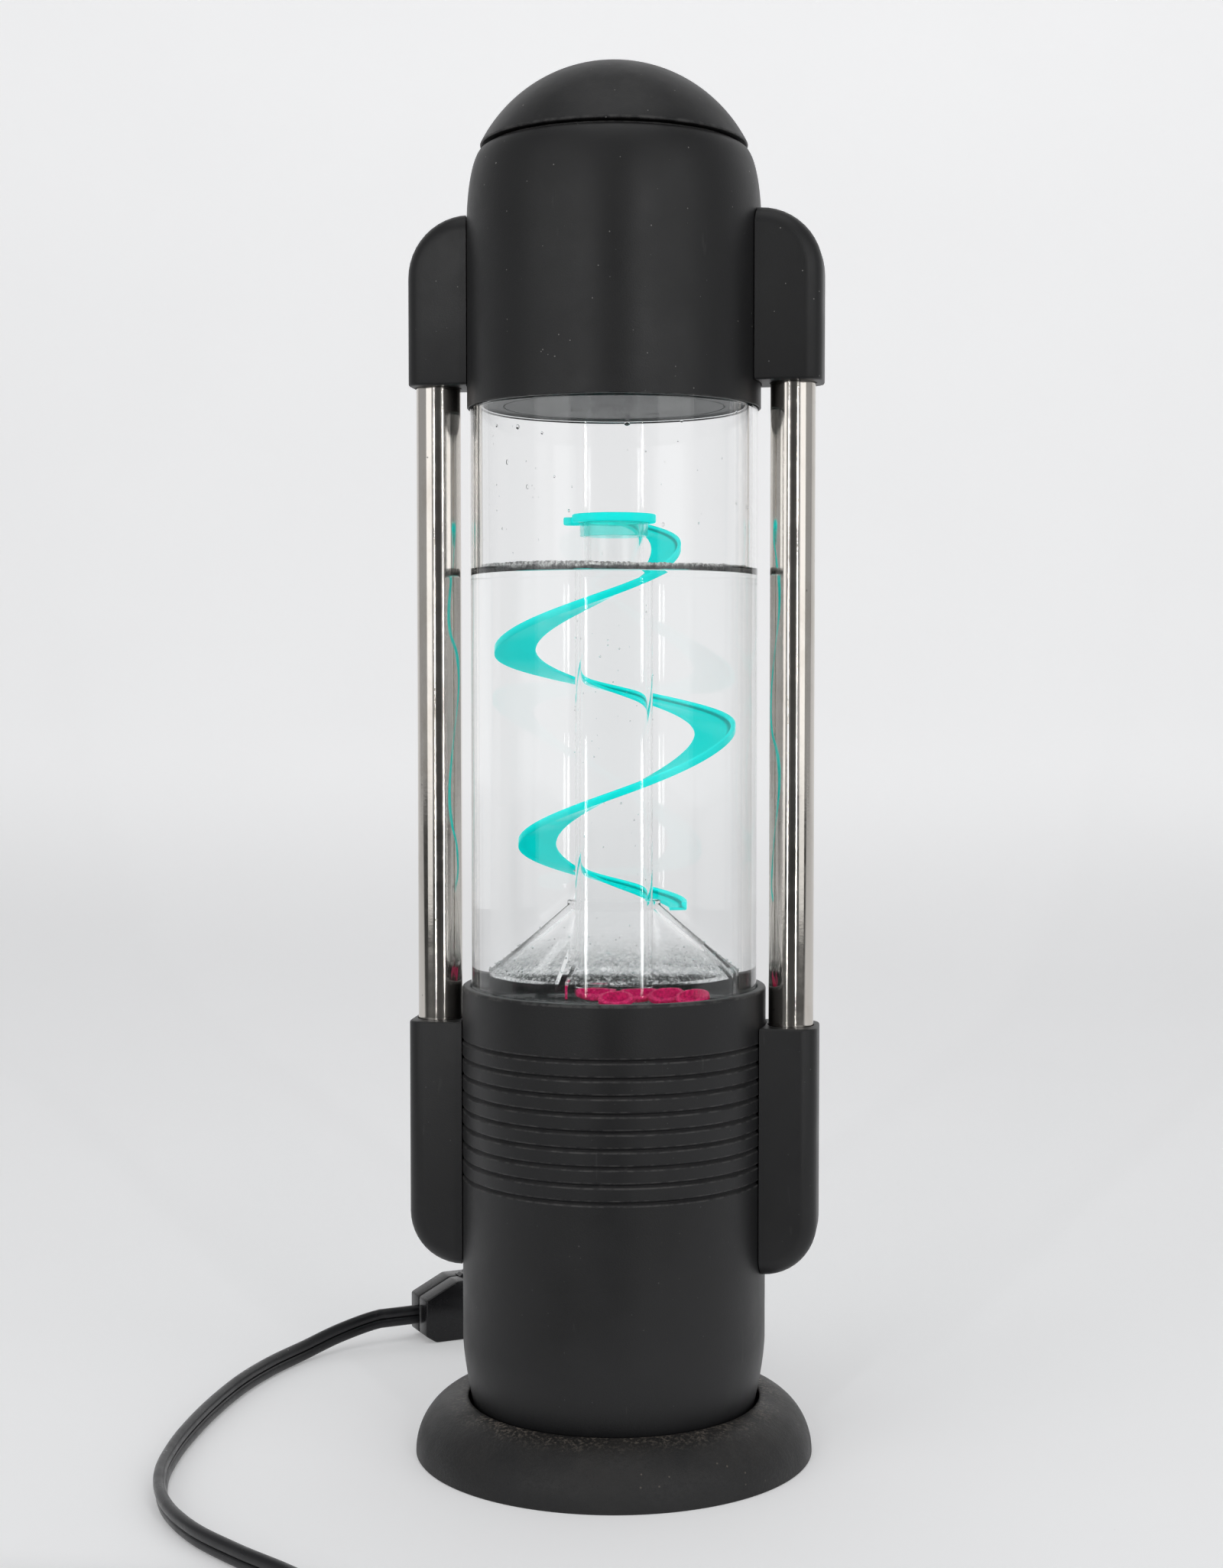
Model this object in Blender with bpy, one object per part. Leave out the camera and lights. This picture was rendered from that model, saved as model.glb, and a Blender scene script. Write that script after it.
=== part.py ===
"""Water bubble lamp: a clear water tank with a spiral ramp, between a pump base and a filler head.

Metres, +Z up. The origin is the centre of the foot, on the table. The two steel rods stand on the
X axis and the cord leaves the back of the foot, so the front of the lamp faces -Y.
"""
import math

import bmesh
import bpy
import numpy as np
from mathutils import Matrix, Vector

# Fits
CLEARANCE = 0.0003
OVERRUN = 0.003

# Facets
SIDES = 40
ROD_SIDES = 24
SMALL_SIDES = 16
TINY_SIDES = 8

# Screws
SCREW_RADIUS = 0.0014
SCREW_HEAD_RADIUS = 0.0028
SCREW_HEAD_THICKNESS = 0.0018

# Foot and base plate
FOOT_FLARE = 0.01643
FOOT_HEIGHT = 0.0175
FOOT_MOUTH_GAP = 0.0010
FOOT_ARC_STEPS = 6
LEDGE_THICKNESS = 0.0025
LEDGE_REACH = 0.0060
PLATE_INSET = 0.0041
PLATE_THICKNESS = 0.0020
SCREW_HEAD_LIFT = 0.0004
BASE_SCREW_LENGTH = 0.0160

# Tank
TUBE_RADIUS = 0.0442
TUBE_WALL = 0.0030
TUBE_EXPOSED = 0.1775
TUBE_SEAT_DEPTH = 0.0186
SEAL_THICKNESS = 0.0020
SEAL_WIDTH = 0.0030
FLOOR_DROP = 0.0047
FLOOR_THICKNESS = 0.0030
JET_RADIUS = 0.0035
INLET_RADIUS = 0.0020
INLET_CIRCLE_RADIUS = 0.0110
INLET_COUNT = 4
INLET_START_ANGLE = math.radians(31)

# Lower housing
LOWER_WALL = 0.0026
LOWER_HEIGHT = 0.1381
TUCK_HEIGHT = 0.0284
TUCK_DEPTH = 0.0051
TUCK_STEPS = 4
INNER_TUCK_STEPS = 2
RIM_CHAMFER = 0.0006
GROOVE_COUNT = 9
GROOVE_DROP = 0.0166
GROOVE_PITCH = 0.00524
GROOVE_WIDTH = 0.0016
GROOVE_DEPTH = 0.0009
FLANGE_THICKNESS = 0.0025
SHELF_THICKNESS = 0.0025
SHELF_WIDTH = 0.0065
POST_COUNT = 3
POST_INSET = 0.0085
POST_RADIUS = 0.0034
POST_START_ANGLE = math.radians(31.5)
POST_BORE_DEPTH = 0.0130

# Upper housing and lid
UPPER_HEIGHT = 0.0790
UPPER_WALL = 0.0020
SHOULDER_HEIGHT = 0.0240
SHOULDER_INSET = 0.0052
SHOULDER_STEPS = 5
SEAM_HEIGHT = 0.0008
SEAM_WIDTH = 0.0010
LIP_DEPTH = 0.0035
LIP_WALL = 0.0006
HEAD_FLANGE_THICKNESS = 0.0025
HEAD_FLANGE_REACH = 0.0039
LID_OVERHANG = 0.0013
LID_HEIGHT = 0.0255
LID_WALL = 0.0020
LID_STEPS = 8
SPIGOT_DEPTH = 0.0090
SPIGOT_WALL = 0.0018

# Tank cap
CAP_WALL = 0.0020
CEILING_DROP = 0.0030
CAP_RIM_WIDTH = 0.0036
CAP_KNOB_RADIUS = 0.0050
CAP_KNOB_HEIGHT = 0.0080

# Rods and pods
ROD_STANDOFF = 0.0010
ROD_RADIUS = 0.0069
ROD_WALL = 0.0010
ROD_SOCKET_DEPTH = 0.0250
POD_WIDTH = 0.0220
POD_EDGE_RADIUS = 0.0055
POD_EDGE_STEPS = 3
POD_CORNER_STEPS = 6
POD_ROOT_SHARE = 0.8
UPPER_POD_WALLS = (0.0024, 0.0012)
UPPER_POD_HEIGHT = 0.0520
UPPER_POD_RISE = 0.0072
UPPER_POD_CORNER = 0.0190
LOWER_POD_WALLS = (0.0016, 0.0016)
LOWER_POD_HEIGHT = 0.0766
LOWER_POD_DROP = 0.0114
LOWER_POD_CORNER = 0.0165
POD_SCREW_LENGTH = 0.0100
POD_SCREW_SHARE = 0.55

# Motor, magnet and impeller
BRACKET_MARGIN = 0.0045
BRACKET_THICKNESS = 0.0025
BRACKET_SCREW_LENGTH = 0.0100
MOTOR_RADIUS = 0.0160
MOTOR_HEIGHT = 0.0260
MOTOR_BOSS_RADIUS = 0.0050
MOTOR_BOSS_HEIGHT = 0.0020
SHAFT_RADIUS = 0.0015
SHAFT_SEAT_DEPTH = 0.0110
MAGNET_RADIUS = 0.0120
MAGNET_THICKNESS = 0.0050
MAGNET_BORE_DEPTH = 0.0040
MAGNET_GAP = 0.0009
CUP_RADIUS = 0.0170
CUP_WALL = 0.0020
CUP_HEIGHT = 0.0206
CUP_FLOOR_THICKNESS = 0.0034
CUP_FLANGE_RADIUS = 0.0240
CUP_FLANGE_THICKNESS = 0.0025
PIN_RADIUS = 0.0012
PIN_LENGTH = 0.0160
PIN_SOCKET_DEPTH = 0.0020
IMPELLER_HUB_RADIUS = 0.0050
IMPELLER_DISC_RADIUS = 0.0135
IMPELLER_DISC_THICKNESS = 0.0040
IMPELLER_BLADE_RADIUS = 0.0130
IMPELLER_BLADE_HEIGHT = 0.0065
IMPELLER_BLADE_COUNT = 6
IMPELLER_BLADE_POINTS = (1, 2)
IMPELLER_STEPS_PER_BLADE = 6
IMPELLER_LIFT = 0.0006

# Bulb
BULB_EDGE_GAP = 0.0090
BULB_BASE_RADIUS = 0.0058
BULB_BASE_HEIGHT = 0.0140
BULB_GLASS_RADIUS = 0.0100
BULB_GLASS_HEIGHT = 0.0260
BULB_PROFILE_SHARES = ((0.60, 0.00), (0.86, 0.18), (1.00, 0.42), (0.92, 0.66), (0.62, 0.88))
HOLDER_WALL = 0.0020
HOLDER_HEIGHT = 0.0120

# Cone, riser and ramp
RISER_RADIUS = 0.0090
RISER_WALL = 0.0012
RISER_FLOOR_GAP = 0.0060
RISER_LENGTH = 0.1425
CONE_WALL = 0.0015
CONE_TUBE_GAP = 0.0122
CONE_SKIRT_HEIGHT = 0.0087
CONE_HEIGHT = 0.0215
CONE_SLOT_COUNT = 3
CONE_SLOT_WIDTH = 0.0030
CONE_SLOT_LENGTH = 0.0080
CONE_SLOT_ANGLE = math.radians(8)
COLLAR_RADIUS = 0.0130
COLLAR_WALL = 0.0012
COLLAR_RIM_HEIGHT = 0.0014
COLLAR_HEIGHT = 0.0068
COLLAR_HOOK_REACH = 0.0025
COLLAR_HOOK_WIDTH = 0.0050
RAMP_TUBE_GAP = 0.0131
RAMP_THICKNESS = 0.0009
RAMP_RAIL_HEIGHT = 0.0024
RAMP_RAIL_WIDTH = 0.0011
RAMP_LANDING_DROP = 0.0008
RAMP_START_ANGLE = math.radians(98)
RAMP_STEPS_PER_QUARTER = 8
RAMP_REACH_SHARES = (0.236, 0.588, 0.838, 0.969, 1.000, 1.000, 0.895, 0.707, 0.513, 0.414)
RAMP_WIDTH_SHARES = (0.179, 0.473, 0.497, 0.497, 0.497, 0.497, 0.497, 0.473, 0.373, 0.209)
RAMP_DROP_SHARES = (0.000, 0.060, 0.196, 0.321, 0.442, 0.563, 0.703, 0.834, 0.945, 1.000)

# Loose discs on the tank floor, placed by shares of the room inside the skirt
DISC_THICKNESS = 0.0020
DISC_LEAN = math.radians(22)
DISC_RADIUS_SHARE = 0.165
DISC_PLACE_SHARES = ((0.222, 0.165), (0.573, -0.106), (0.107, -0.608), (0.925, -0.345), (-0.229, 0.370))

# Cord, gland, switch and plug
CORD_RADIUS = 0.0034
CORD_STEP = 0.0145
GLAND_ANGLE = math.radians(75)
GLAND_HEIGHT = 0.0070
GLAND_RADIUS = 0.0052
GLAND_TIP_RADIUS = 0.0040
GLAND_LENGTH = 0.0340
GLAND_TIP_LENGTH = 0.0220
GLAND_START_RADIUS = 0.0500
SWITCH_CENTRE = Vector((-0.0669, 0.1220, 0.0))
SWITCH_TURN = math.radians(33)
SWITCH_CORD_HEIGHT = 0.0091
SWITCH_LENGTH = 0.0480
SWITCH_HEIGHT = 0.0216
SWITCH_THICKNESS = 0.0163
SWITCH_END_HEIGHT = 0.0156
SWITCH_END_LIFT = 0.0026
SWITCH_SLOPE_LENGTH = 0.0120
SWITCH_FOOT_SLOPE = 0.0040
SWITCH_EDGE = 0.0009
WHEEL_RADIUS = 0.0115
WHEEL_THICKNESS = 0.0050
WHEEL_HEIGHT = 0.0140
WHEEL_KNURL_DEPTH = 0.0006
WHEEL_KNURL_COUNT = 20
WHEEL_PIN_RADIUS = 0.0015
SWITCH_SCREW_OFFSET = 0.0165
SWITCH_SCREW_HEIGHT = 0.0090
SWITCH_SCREW_LENGTH = 0.0120
COIL_CENTRE = Vector((-0.0689, -0.2045, 0.0))
COIL_RADIUS = 0.0465
COIL_PITCH = 0.0073
COIL_START_ANGLE = math.radians(30)
COIL_LIFT = 0.00345
COIL_POINTS_PER_TURN = 24
COIL_STEPS = 128
COIL_TAIL_LENGTH = 0.0380
PLUG_LENGTH = 0.0270
PLUG_WIDTH = 0.0220
PLUG_NECK_WIDTH = 0.0120
PLUG_HEIGHT = 0.0210
PLUG_NECK_HEIGHT = 0.0110
PLUG_EDGE = 0.0018
BLADE_LENGTH = 0.0160
BLADE_SEAT_DEPTH = 0.0080
BLADE_WIDTH = 0.0063
BLADE_THICKNESS = 0.0015
BLADE_SPACING = 0.0127
PLUG_CORNERS = ((1, 1, 1, 0), (1, 1, 0, 1), (1, -1, 0, 1), (1, -1, 1, 0),
                (-1, -1, 1, 0), (-1, -1, 0, 1), (-1, 1, 0, 1), (-1, 1, 1, 0))

LEAD_ROUTE = [
    Vector((0.0252, 0.1094, 0.0047)), Vector((0.0205, 0.1222, 0.0037)), Vector((0.0107, 0.1338, 0.0035)),
    Vector((-0.0027, 0.1418, 0.0036)), Vector((-0.0192, 0.1458, 0.0061)),
]
RUN_ROUTE = [
    Vector((-0.1116, 0.0902, 0.0064)), Vector((-0.1209, 0.0754, 0.0039)),
    Vector((-0.1272, 0.0575, 0.0035)), Vector((-0.1312, 0.0370, 0.0035)),
    Vector((-0.1330, 0.0140, 0.0035)), Vector((-0.1332, -0.0100, 0.0035)),
    Vector((-0.1318, -0.0340, 0.0035)), Vector((-0.1278, -0.0580, 0.0035)),
    Vector((-0.1190, -0.0805, 0.0035)), Vector((-0.1046, -0.1000, 0.0035)),
    Vector((-0.0864, -0.1156, 0.0035)), Vector((-0.0672, -0.1296, 0.0035)),
    Vector((-0.0508, -0.1450, 0.0035)),
]

# Radii worked out from the tube outwards and inwards
TUBE_INNER_RADIUS = TUBE_RADIUS - TUBE_WALL
LOWER_INNER_RADIUS = TUBE_RADIUS + CLEARANCE
LOWER_RADIUS = LOWER_INNER_RADIUS + LOWER_WALL
UPPER_RADIUS = TUBE_RADIUS + CLEARANCE + LIP_WALL
UPPER_INNER_RADIUS = UPPER_RADIUS - UPPER_WALL
UPPER_MOUTH_RADIUS = UPPER_RADIUS - SHOULDER_INSET
HEAD_FLANGE_BORE = UPPER_MOUTH_RADIUS - UPPER_WALL - HEAD_FLANGE_REACH
LID_RADIUS = UPPER_MOUTH_RADIUS + LID_OVERHANG
PLATE_RADIUS = LOWER_RADIUS - PLATE_INSET
POST_CIRCLE_RADIUS = LOWER_INNER_RADIUS - POST_INSET
LEDGE_BORE_RADIUS = POST_CIRCLE_RADIUS - LEDGE_REACH
BRACKET_RADIUS = LOWER_INNER_RADIUS - BRACKET_MARGIN
ROD_CENTRE_RADIUS = LOWER_RADIUS + ROD_STANDOFF + ROD_RADIUS
CONE_RADIUS = TUBE_INNER_RADIUS - CONE_TUBE_GAP
CONE_APEX_RADIUS = RISER_RADIUS + CLEARANCE + CONE_WALL
COLLAR_BORE_RADIUS = RISER_RADIUS + CLEARANCE
RAMP_REACH = TUBE_INNER_RADIUS - RAMP_TUBE_GAP - RISER_RADIUS

# Levels worked out from the table upwards
PLATE_BOTTOM = SCREW_HEAD_LIFT + SCREW_HEAD_THICKNESS + CLEARANCE
PLATE_TOP = PLATE_BOTTOM + PLATE_THICKNESS
LEDGE_BOTTOM = PLATE_TOP + CLEARANCE
LEDGE_TOP = LEDGE_BOTTOM + LEDGE_THICKNESS
LOWER_BOTTOM = LEDGE_TOP + CLEARANCE
LOWER_TOP = LOWER_BOTTOM + LOWER_HEIGHT
TUCK_TOP = LOWER_BOTTOM + TUCK_HEIGHT
TUBE_BOTTOM = LOWER_TOP - TUBE_SEAT_DEPTH
SHELF_TOP = TUBE_BOTTOM - CLEARANCE - SEAL_THICKNESS - CLEARANCE
SHELF_BOTTOM = SHELF_TOP - SHELF_THICKNESS
FLOOR_TOP = LOWER_TOP - FLOOR_DROP
FLOOR_BOTTOM = FLOOR_TOP - FLOOR_THICKNESS
UPPER_BOTTOM = LOWER_TOP + TUBE_EXPOSED
UPPER_TOP = UPPER_BOTTOM + UPPER_HEIGHT
SHOULDER_BOTTOM = UPPER_TOP - SHOULDER_HEIGHT
HEAD_FLANGE_BOTTOM = UPPER_BOTTOM + LIP_DEPTH
HEAD_FLANGE_TOP = HEAD_FLANGE_BOTTOM + HEAD_FLANGE_THICKNESS
CEILING_BOTTOM = HEAD_FLANGE_BOTTOM - CEILING_DROP
TUBE_TOP = HEAD_FLANGE_BOTTOM - CLEARANCE - SEAL_THICKNESS / 2 - CLEARANCE
LID_BOTTOM = UPPER_TOP + CLEARANCE
RISER_BOTTOM = FLOOR_TOP + RISER_FLOOR_GAP
RISER_TOP = RISER_BOTTOM + RISER_LENGTH
SKIRT_BOTTOM = FLOOR_TOP + CLEARANCE
SKIRT_TOP = SKIRT_BOTTOM + CONE_SKIRT_HEIGHT
CONE_TOP = SKIRT_TOP + CONE_HEIGHT
COLLAR_TOP = RISER_TOP + CLEARANCE + COLLAR_WALL
RAMP_TOP = COLLAR_TOP - COLLAR_RIM_HEIGHT
RAMP_END = CONE_TOP - RAMP_LANDING_DROP
LOWER_POD_TOP = LOWER_TOP - LOWER_POD_DROP
UPPER_POD_BOTTOM = UPPER_BOTTOM + UPPER_POD_RISE
ROD_BOTTOM = LOWER_POD_TOP - ROD_SOCKET_DEPTH
ROD_TOP = UPPER_POD_BOTTOM + ROD_SOCKET_DEPTH

# Levels of the pump and motor, worked out from the tank floor downwards
CUP_TOP = FLOOR_BOTTOM - CLEARANCE
CUP_BOTTOM = CUP_TOP - CUP_HEIGHT
CUP_FLOOR = CUP_BOTTOM + CUP_FLOOR_THICKNESS
IMPELLER_BOTTOM = CUP_FLOOR + IMPELLER_LIFT
MAGNET_TOP = CUP_BOTTOM - MAGNET_GAP
MAGNET_BOTTOM = MAGNET_TOP - MAGNET_THICKNESS
BOSS_TOP = MAGNET_BOTTOM - MAGNET_GAP
MOTOR_TOP = BOSS_TOP - MOTOR_BOSS_HEIGHT
MOTOR_BOTTOM = MOTOR_TOP - MOTOR_HEIGHT
BRACKET_TOP = MOTOR_BOTTOM - CLEARANCE
BRACKET_BOTTOM = BRACKET_TOP - BRACKET_THICKNESS
POST_TOP = BRACKET_BOTTOM - CLEARANCE


def clear_scene():
    for old in list(bpy.data.objects):
        bpy.data.objects.remove(old, do_unlink=True)


def material(name, colour, roughness, metallic=0.0, transmission=0.0):
    made = bpy.data.materials.new(name)
    made.use_nodes = True
    shader = made.node_tree.nodes["Principled BSDF"]
    shader.inputs["Base Color"].default_value = (*colour, 1.0)
    shader.inputs["Roughness"].default_value = roughness
    shader.inputs["Metallic"].default_value = metallic
    shader.inputs["Transmission Weight"].default_value = transmission
    return made


def add_object(name, mesh, finish, location=(0, 0, 0), rotation=(0, 0, 0)):
    made = bpy.data.objects.new(name, mesh)
    made.location = location
    made.rotation_euler = rotation
    if finish is not None and not mesh.materials:
        mesh.materials.append(finish)
    bpy.context.scene.collection.objects.link(made)
    return made


def finish_mesh(shape, name):
    """Close the bmesh into a mesh with outward faces and soft shading across shallow edges."""
    bmesh.ops.recalc_face_normals(shape, faces=shape.faces)
    mesh = bpy.data.meshes.new(name)
    shape.to_mesh(mesh)
    shape.free()
    mesh.shade_smooth()
    mesh.set_sharp_from_angle(angle=math.radians(35))
    return mesh


def turned_mesh(name, profile, sides, wave=None):
    """Turn (radius, height) points about Z; points on the axis become one vertex.

    The profile is a closed loop, or an open line whose two ends lie on the axis. wave gives the
    share of its radius that a profile point keeps at a step round the axis.
    """
    shape = bmesh.new()
    rings = []
    for index, (radius, height) in enumerate(profile):
        if radius == 0:
            rings.append([shape.verts.new((0, 0, height))])
            continue
        ring = []
        for step in range(sides):
            angle = 2 * math.pi * step / sides
            here = radius if wave is None else radius * wave(index, step)
            ring.append(shape.verts.new((here * math.cos(angle), here * math.sin(angle), height)))
        rings.append(ring)
    on_axis = profile[0][0] == 0
    pairs = list(zip(rings, rings[1:]))
    if not on_axis:
        pairs.append((rings[-1], rings[0]))
    for first, second in pairs:
        for step in range(sides):
            after = (step + 1) % sides
            if len(first) == 1:
                shape.faces.new((first[0], second[step], second[after]))
            elif len(second) == 1:
                shape.faces.new((first[step], second[0], first[after]))
            else:
                shape.faces.new((first[step], second[step], second[after], first[after]))
    return finish_mesh(shape, name)


def rod_profile(radius, bottom, top):
    return [(0, top), (radius, top), (radius, bottom), (0, bottom)]


def ring_profile(outer, inner, bottom, top):
    return [(inner, top), (outer, top), (outer, bottom), (inner, bottom)]


def turned(name, profile, finish, sides=SIDES, location=(0, 0, 0), rotation=(0, 0, 0), wave=None):
    return add_object(name, turned_mesh(name, profile, sides, wave), finish, location, rotation)


def prism_mesh(name, outline, near, far):
    """Extrude an outline of (x, z) points along Y, from near to far."""
    shape = bmesh.new()
    face = shape.faces.new([shape.verts.new((x, near, z)) for x, z in outline])
    pushed = bmesh.ops.extrude_face_region(shape, geom=[face])
    moved = [item for item in pushed["geom"] if isinstance(item, bmesh.types.BMVert)]
    bmesh.ops.translate(shape, verts=moved, vec=(0, far - near, 0))
    return finish_mesh(shape, name)


def box_mesh(name, size):
    shape = bmesh.new()
    bmesh.ops.create_cube(shape, size=1.0, matrix=Matrix.Diagonal((*size, 1.0)))
    return finish_mesh(shape, name)


def guide(piece):
    """Mark a cutter or a joined-in shape, which is not a piece of the lamp."""
    piece.hide_render = True
    piece.display_type = "WIRE"
    return piece


def combine(target, tool, operation):
    step = target.modifiers.new(operation.lower(), "BOOLEAN")
    step.operation = operation
    step.solver = "EXACT"
    step.object = guide(tool)


def cut(target, tool):
    combine(target, tool, "DIFFERENCE")


def join(target, tool):
    combine(target, tool, "UNION")


def round_the_axis(count, start, radius):
    for index in range(count):
        angle = start + 2 * math.pi * index / count
        yield index, angle, Vector((radius * math.cos(angle), radius * math.sin(angle), 0))


def screw_mesh(name, length):
    """A pan-head screw along +Z, with the underside of its head at zero."""
    profile = [(0, length), (SCREW_RADIUS, length), (SCREW_RADIUS, 0), (SCREW_HEAD_RADIUS, 0),
               (SCREW_HEAD_RADIUS, -SCREW_HEAD_THICKNESS), (0, -SCREW_HEAD_THICKNESS)]
    return turned_mesh(name, profile, TINY_SIDES)


def tuck_radius(height):
    """Outer radius of the lower housing, which draws in towards the foot."""
    share = max(0.0, (TUCK_TOP - height) / TUCK_HEIGHT)
    return LOWER_RADIUS - TUCK_DEPTH * share * math.sqrt(share)


def build_foot(rubber, plastic, steel):
    mouth = tuck_radius(FOOT_HEIGHT) + FOOT_MOUTH_GAP
    profile = []
    for step in range(FOOT_ARC_STEPS + 1):
        turn = math.pi / 2 * (1 - step / FOOT_ARC_STEPS)
        profile.append((mouth + FOOT_FLARE * math.cos(turn), FOOT_HEIGHT * math.sin(turn)))
    recess = PLATE_RADIUS + CLEARANCE
    profile += [(recess, 0), (recess, LEDGE_BOTTOM), (LEDGE_BORE_RADIUS, LEDGE_BOTTOM),
                (LEDGE_BORE_RADIUS, LEDGE_TOP), (mouth, LEDGE_TOP)]
    foot = turned("foot_ring", profile, rubber)
    across = Vector((math.cos(GLAND_ANGLE), math.sin(GLAND_ANGLE), 0))
    gland_room = rod_profile(GLAND_RADIUS + CLEARANCE, 0, FOOT_FLARE * 2)
    gland_hole = turned_mesh("gland_hole", gland_room, SMALL_SIDES)
    gland_seat = across * mouth + Vector((0, 0, GLAND_HEIGHT))
    cut(foot, add_object("gland_hole", gland_hole, None, gland_seat, (0, math.pi / 2, GLAND_ANGLE)))

    plate = turned("base_plate", rod_profile(PLATE_RADIUS, PLATE_BOTTOM, PLATE_TOP), plastic)
    hole = turned_mesh("base_hole", rod_profile(SCREW_RADIUS + CLEARANCE, 0, LEDGE_TOP + OVERRUN), TINY_SIDES)
    screw = screw_mesh("base_screw", BASE_SCREW_LENGTH)
    screw.materials.append(steel)
    for index, angle, place in round_the_axis(POST_COUNT, POST_START_ANGLE, POST_CIRCLE_RADIUS):
        cutter = add_object("base_hole_%d" % (index + 1), hole, None, place)
        cut(plate, cutter)
        cut(foot, cutter)
        seat = place + Vector((0, 0, PLATE_BOTTOM - CLEARANCE))
        add_object("base_screw_%d" % (index + 1), screw, steel, seat)


def build_lower_housing(plastic):
    outer = [(LOWER_RADIUS - RIM_CHAMFER, LOWER_TOP), (LOWER_RADIUS, LOWER_TOP - RIM_CHAMFER)]
    for index in range(GROOVE_COUNT):
        middle = LOWER_TOP - GROOVE_DROP - index * GROOVE_PITCH
        outer += [(LOWER_RADIUS, middle + GROOVE_WIDTH / 2), (LOWER_RADIUS - GROOVE_DEPTH, middle),
                  (LOWER_RADIUS, middle - GROOVE_WIDTH / 2)]
    inner = [(LEDGE_BORE_RADIUS, LOWER_BOTTOM), (LEDGE_BORE_RADIUS, LOWER_BOTTOM + FLANGE_THICKNESS)]
    for step in range(TUCK_STEPS + 1):
        height = TUCK_TOP - TUCK_HEIGHT * step / TUCK_STEPS
        outer.append((tuck_radius(height), height))
    low = LOWER_BOTTOM + FLANGE_THICKNESS
    for step in range(INNER_TUCK_STEPS + 1):
        height = low + (TUCK_TOP - low) * step / INNER_TUCK_STEPS
        inner.append((tuck_radius(height) - LOWER_WALL, height))
    shelf = LOWER_INNER_RADIUS - SHELF_WIDTH
    inner += [(LOWER_INNER_RADIUS, SHELF_BOTTOM), (shelf, SHELF_BOTTOM), (shelf, SHELF_TOP),
              (LOWER_INNER_RADIUS, SHELF_TOP), (LOWER_INNER_RADIUS, LOWER_TOP)]
    housing = turned("lower_housing", outer + inner, plastic)

    root = LOWER_BOTTOM + FLANGE_THICKNESS / 2
    post = turned_mesh("post", rod_profile(POST_RADIUS, root, POST_TOP), SMALL_SIDES)
    bore = rod_profile(SCREW_RADIUS + CLEARANCE, LOWER_BOTTOM - OVERRUN, LOWER_BOTTOM + POST_BORE_DEPTH)
    low_bore = turned_mesh("low_bore", bore, TINY_SIDES)
    bore = rod_profile(SCREW_RADIUS + CLEARANCE, POST_TOP - POST_BORE_DEPTH, POST_TOP + OVERRUN)
    high_bore = turned_mesh("high_bore", bore, TINY_SIDES)
    for index, angle, place in round_the_axis(POST_COUNT, POST_START_ANGLE, POST_CIRCLE_RADIUS):
        join(housing, add_object("post_%d" % (index + 1), post, None, place))
    for index, angle, place in round_the_axis(POST_COUNT, POST_START_ANGLE, POST_CIRCLE_RADIUS):
        cut(housing, add_object("low_bore_%d" % (index + 1), low_bore, None, place))
        cut(housing, add_object("high_bore_%d" % (index + 1), high_bore, None, place))
    return housing


def build_upper_housing(plastic):
    step_radius = UPPER_MOUTH_RADIUS - SEAM_WIDTH
    outer = [(step_radius, UPPER_TOP), (step_radius, UPPER_TOP - SEAM_HEIGHT)]
    for step in range(SHOULDER_STEPS + 1):
        turn = math.pi / 2 * step / SHOULDER_STEPS
        radius = UPPER_MOUTH_RADIUS + (UPPER_RADIUS - UPPER_MOUTH_RADIUS) * math.sin(turn)
        outer.append((radius, SHOULDER_BOTTOM + (SHOULDER_HEIGHT - SEAM_HEIGHT) * math.cos(turn)))
    lip = TUBE_RADIUS + CLEARANCE
    ceiling = TUBE_INNER_RADIUS - CLEARANCE
    outer += [(UPPER_RADIUS, UPPER_BOTTOM), (lip, UPPER_BOTTOM), (lip, HEAD_FLANGE_BOTTOM),
              (ceiling, HEAD_FLANGE_BOTTOM), (ceiling, CEILING_BOTTOM),
              (HEAD_FLANGE_BORE, CEILING_BOTTOM), (HEAD_FLANGE_BORE, HEAD_FLANGE_TOP),
              (UPPER_INNER_RADIUS, HEAD_FLANGE_TOP)]
    inner = []
    for step in range(SHOULDER_STEPS):
        turn = math.pi / 2 * (1 - step / SHOULDER_STEPS)
        radius = UPPER_MOUTH_RADIUS + (UPPER_RADIUS - UPPER_MOUTH_RADIUS) * math.sin(turn) - UPPER_WALL
        inner.append((radius, SHOULDER_BOTTOM + SHOULDER_HEIGHT * math.cos(turn)))
    inner.append((UPPER_MOUTH_RADIUS - UPPER_WALL, UPPER_TOP))
    return turned("upper_housing", outer + inner, plastic)


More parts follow.
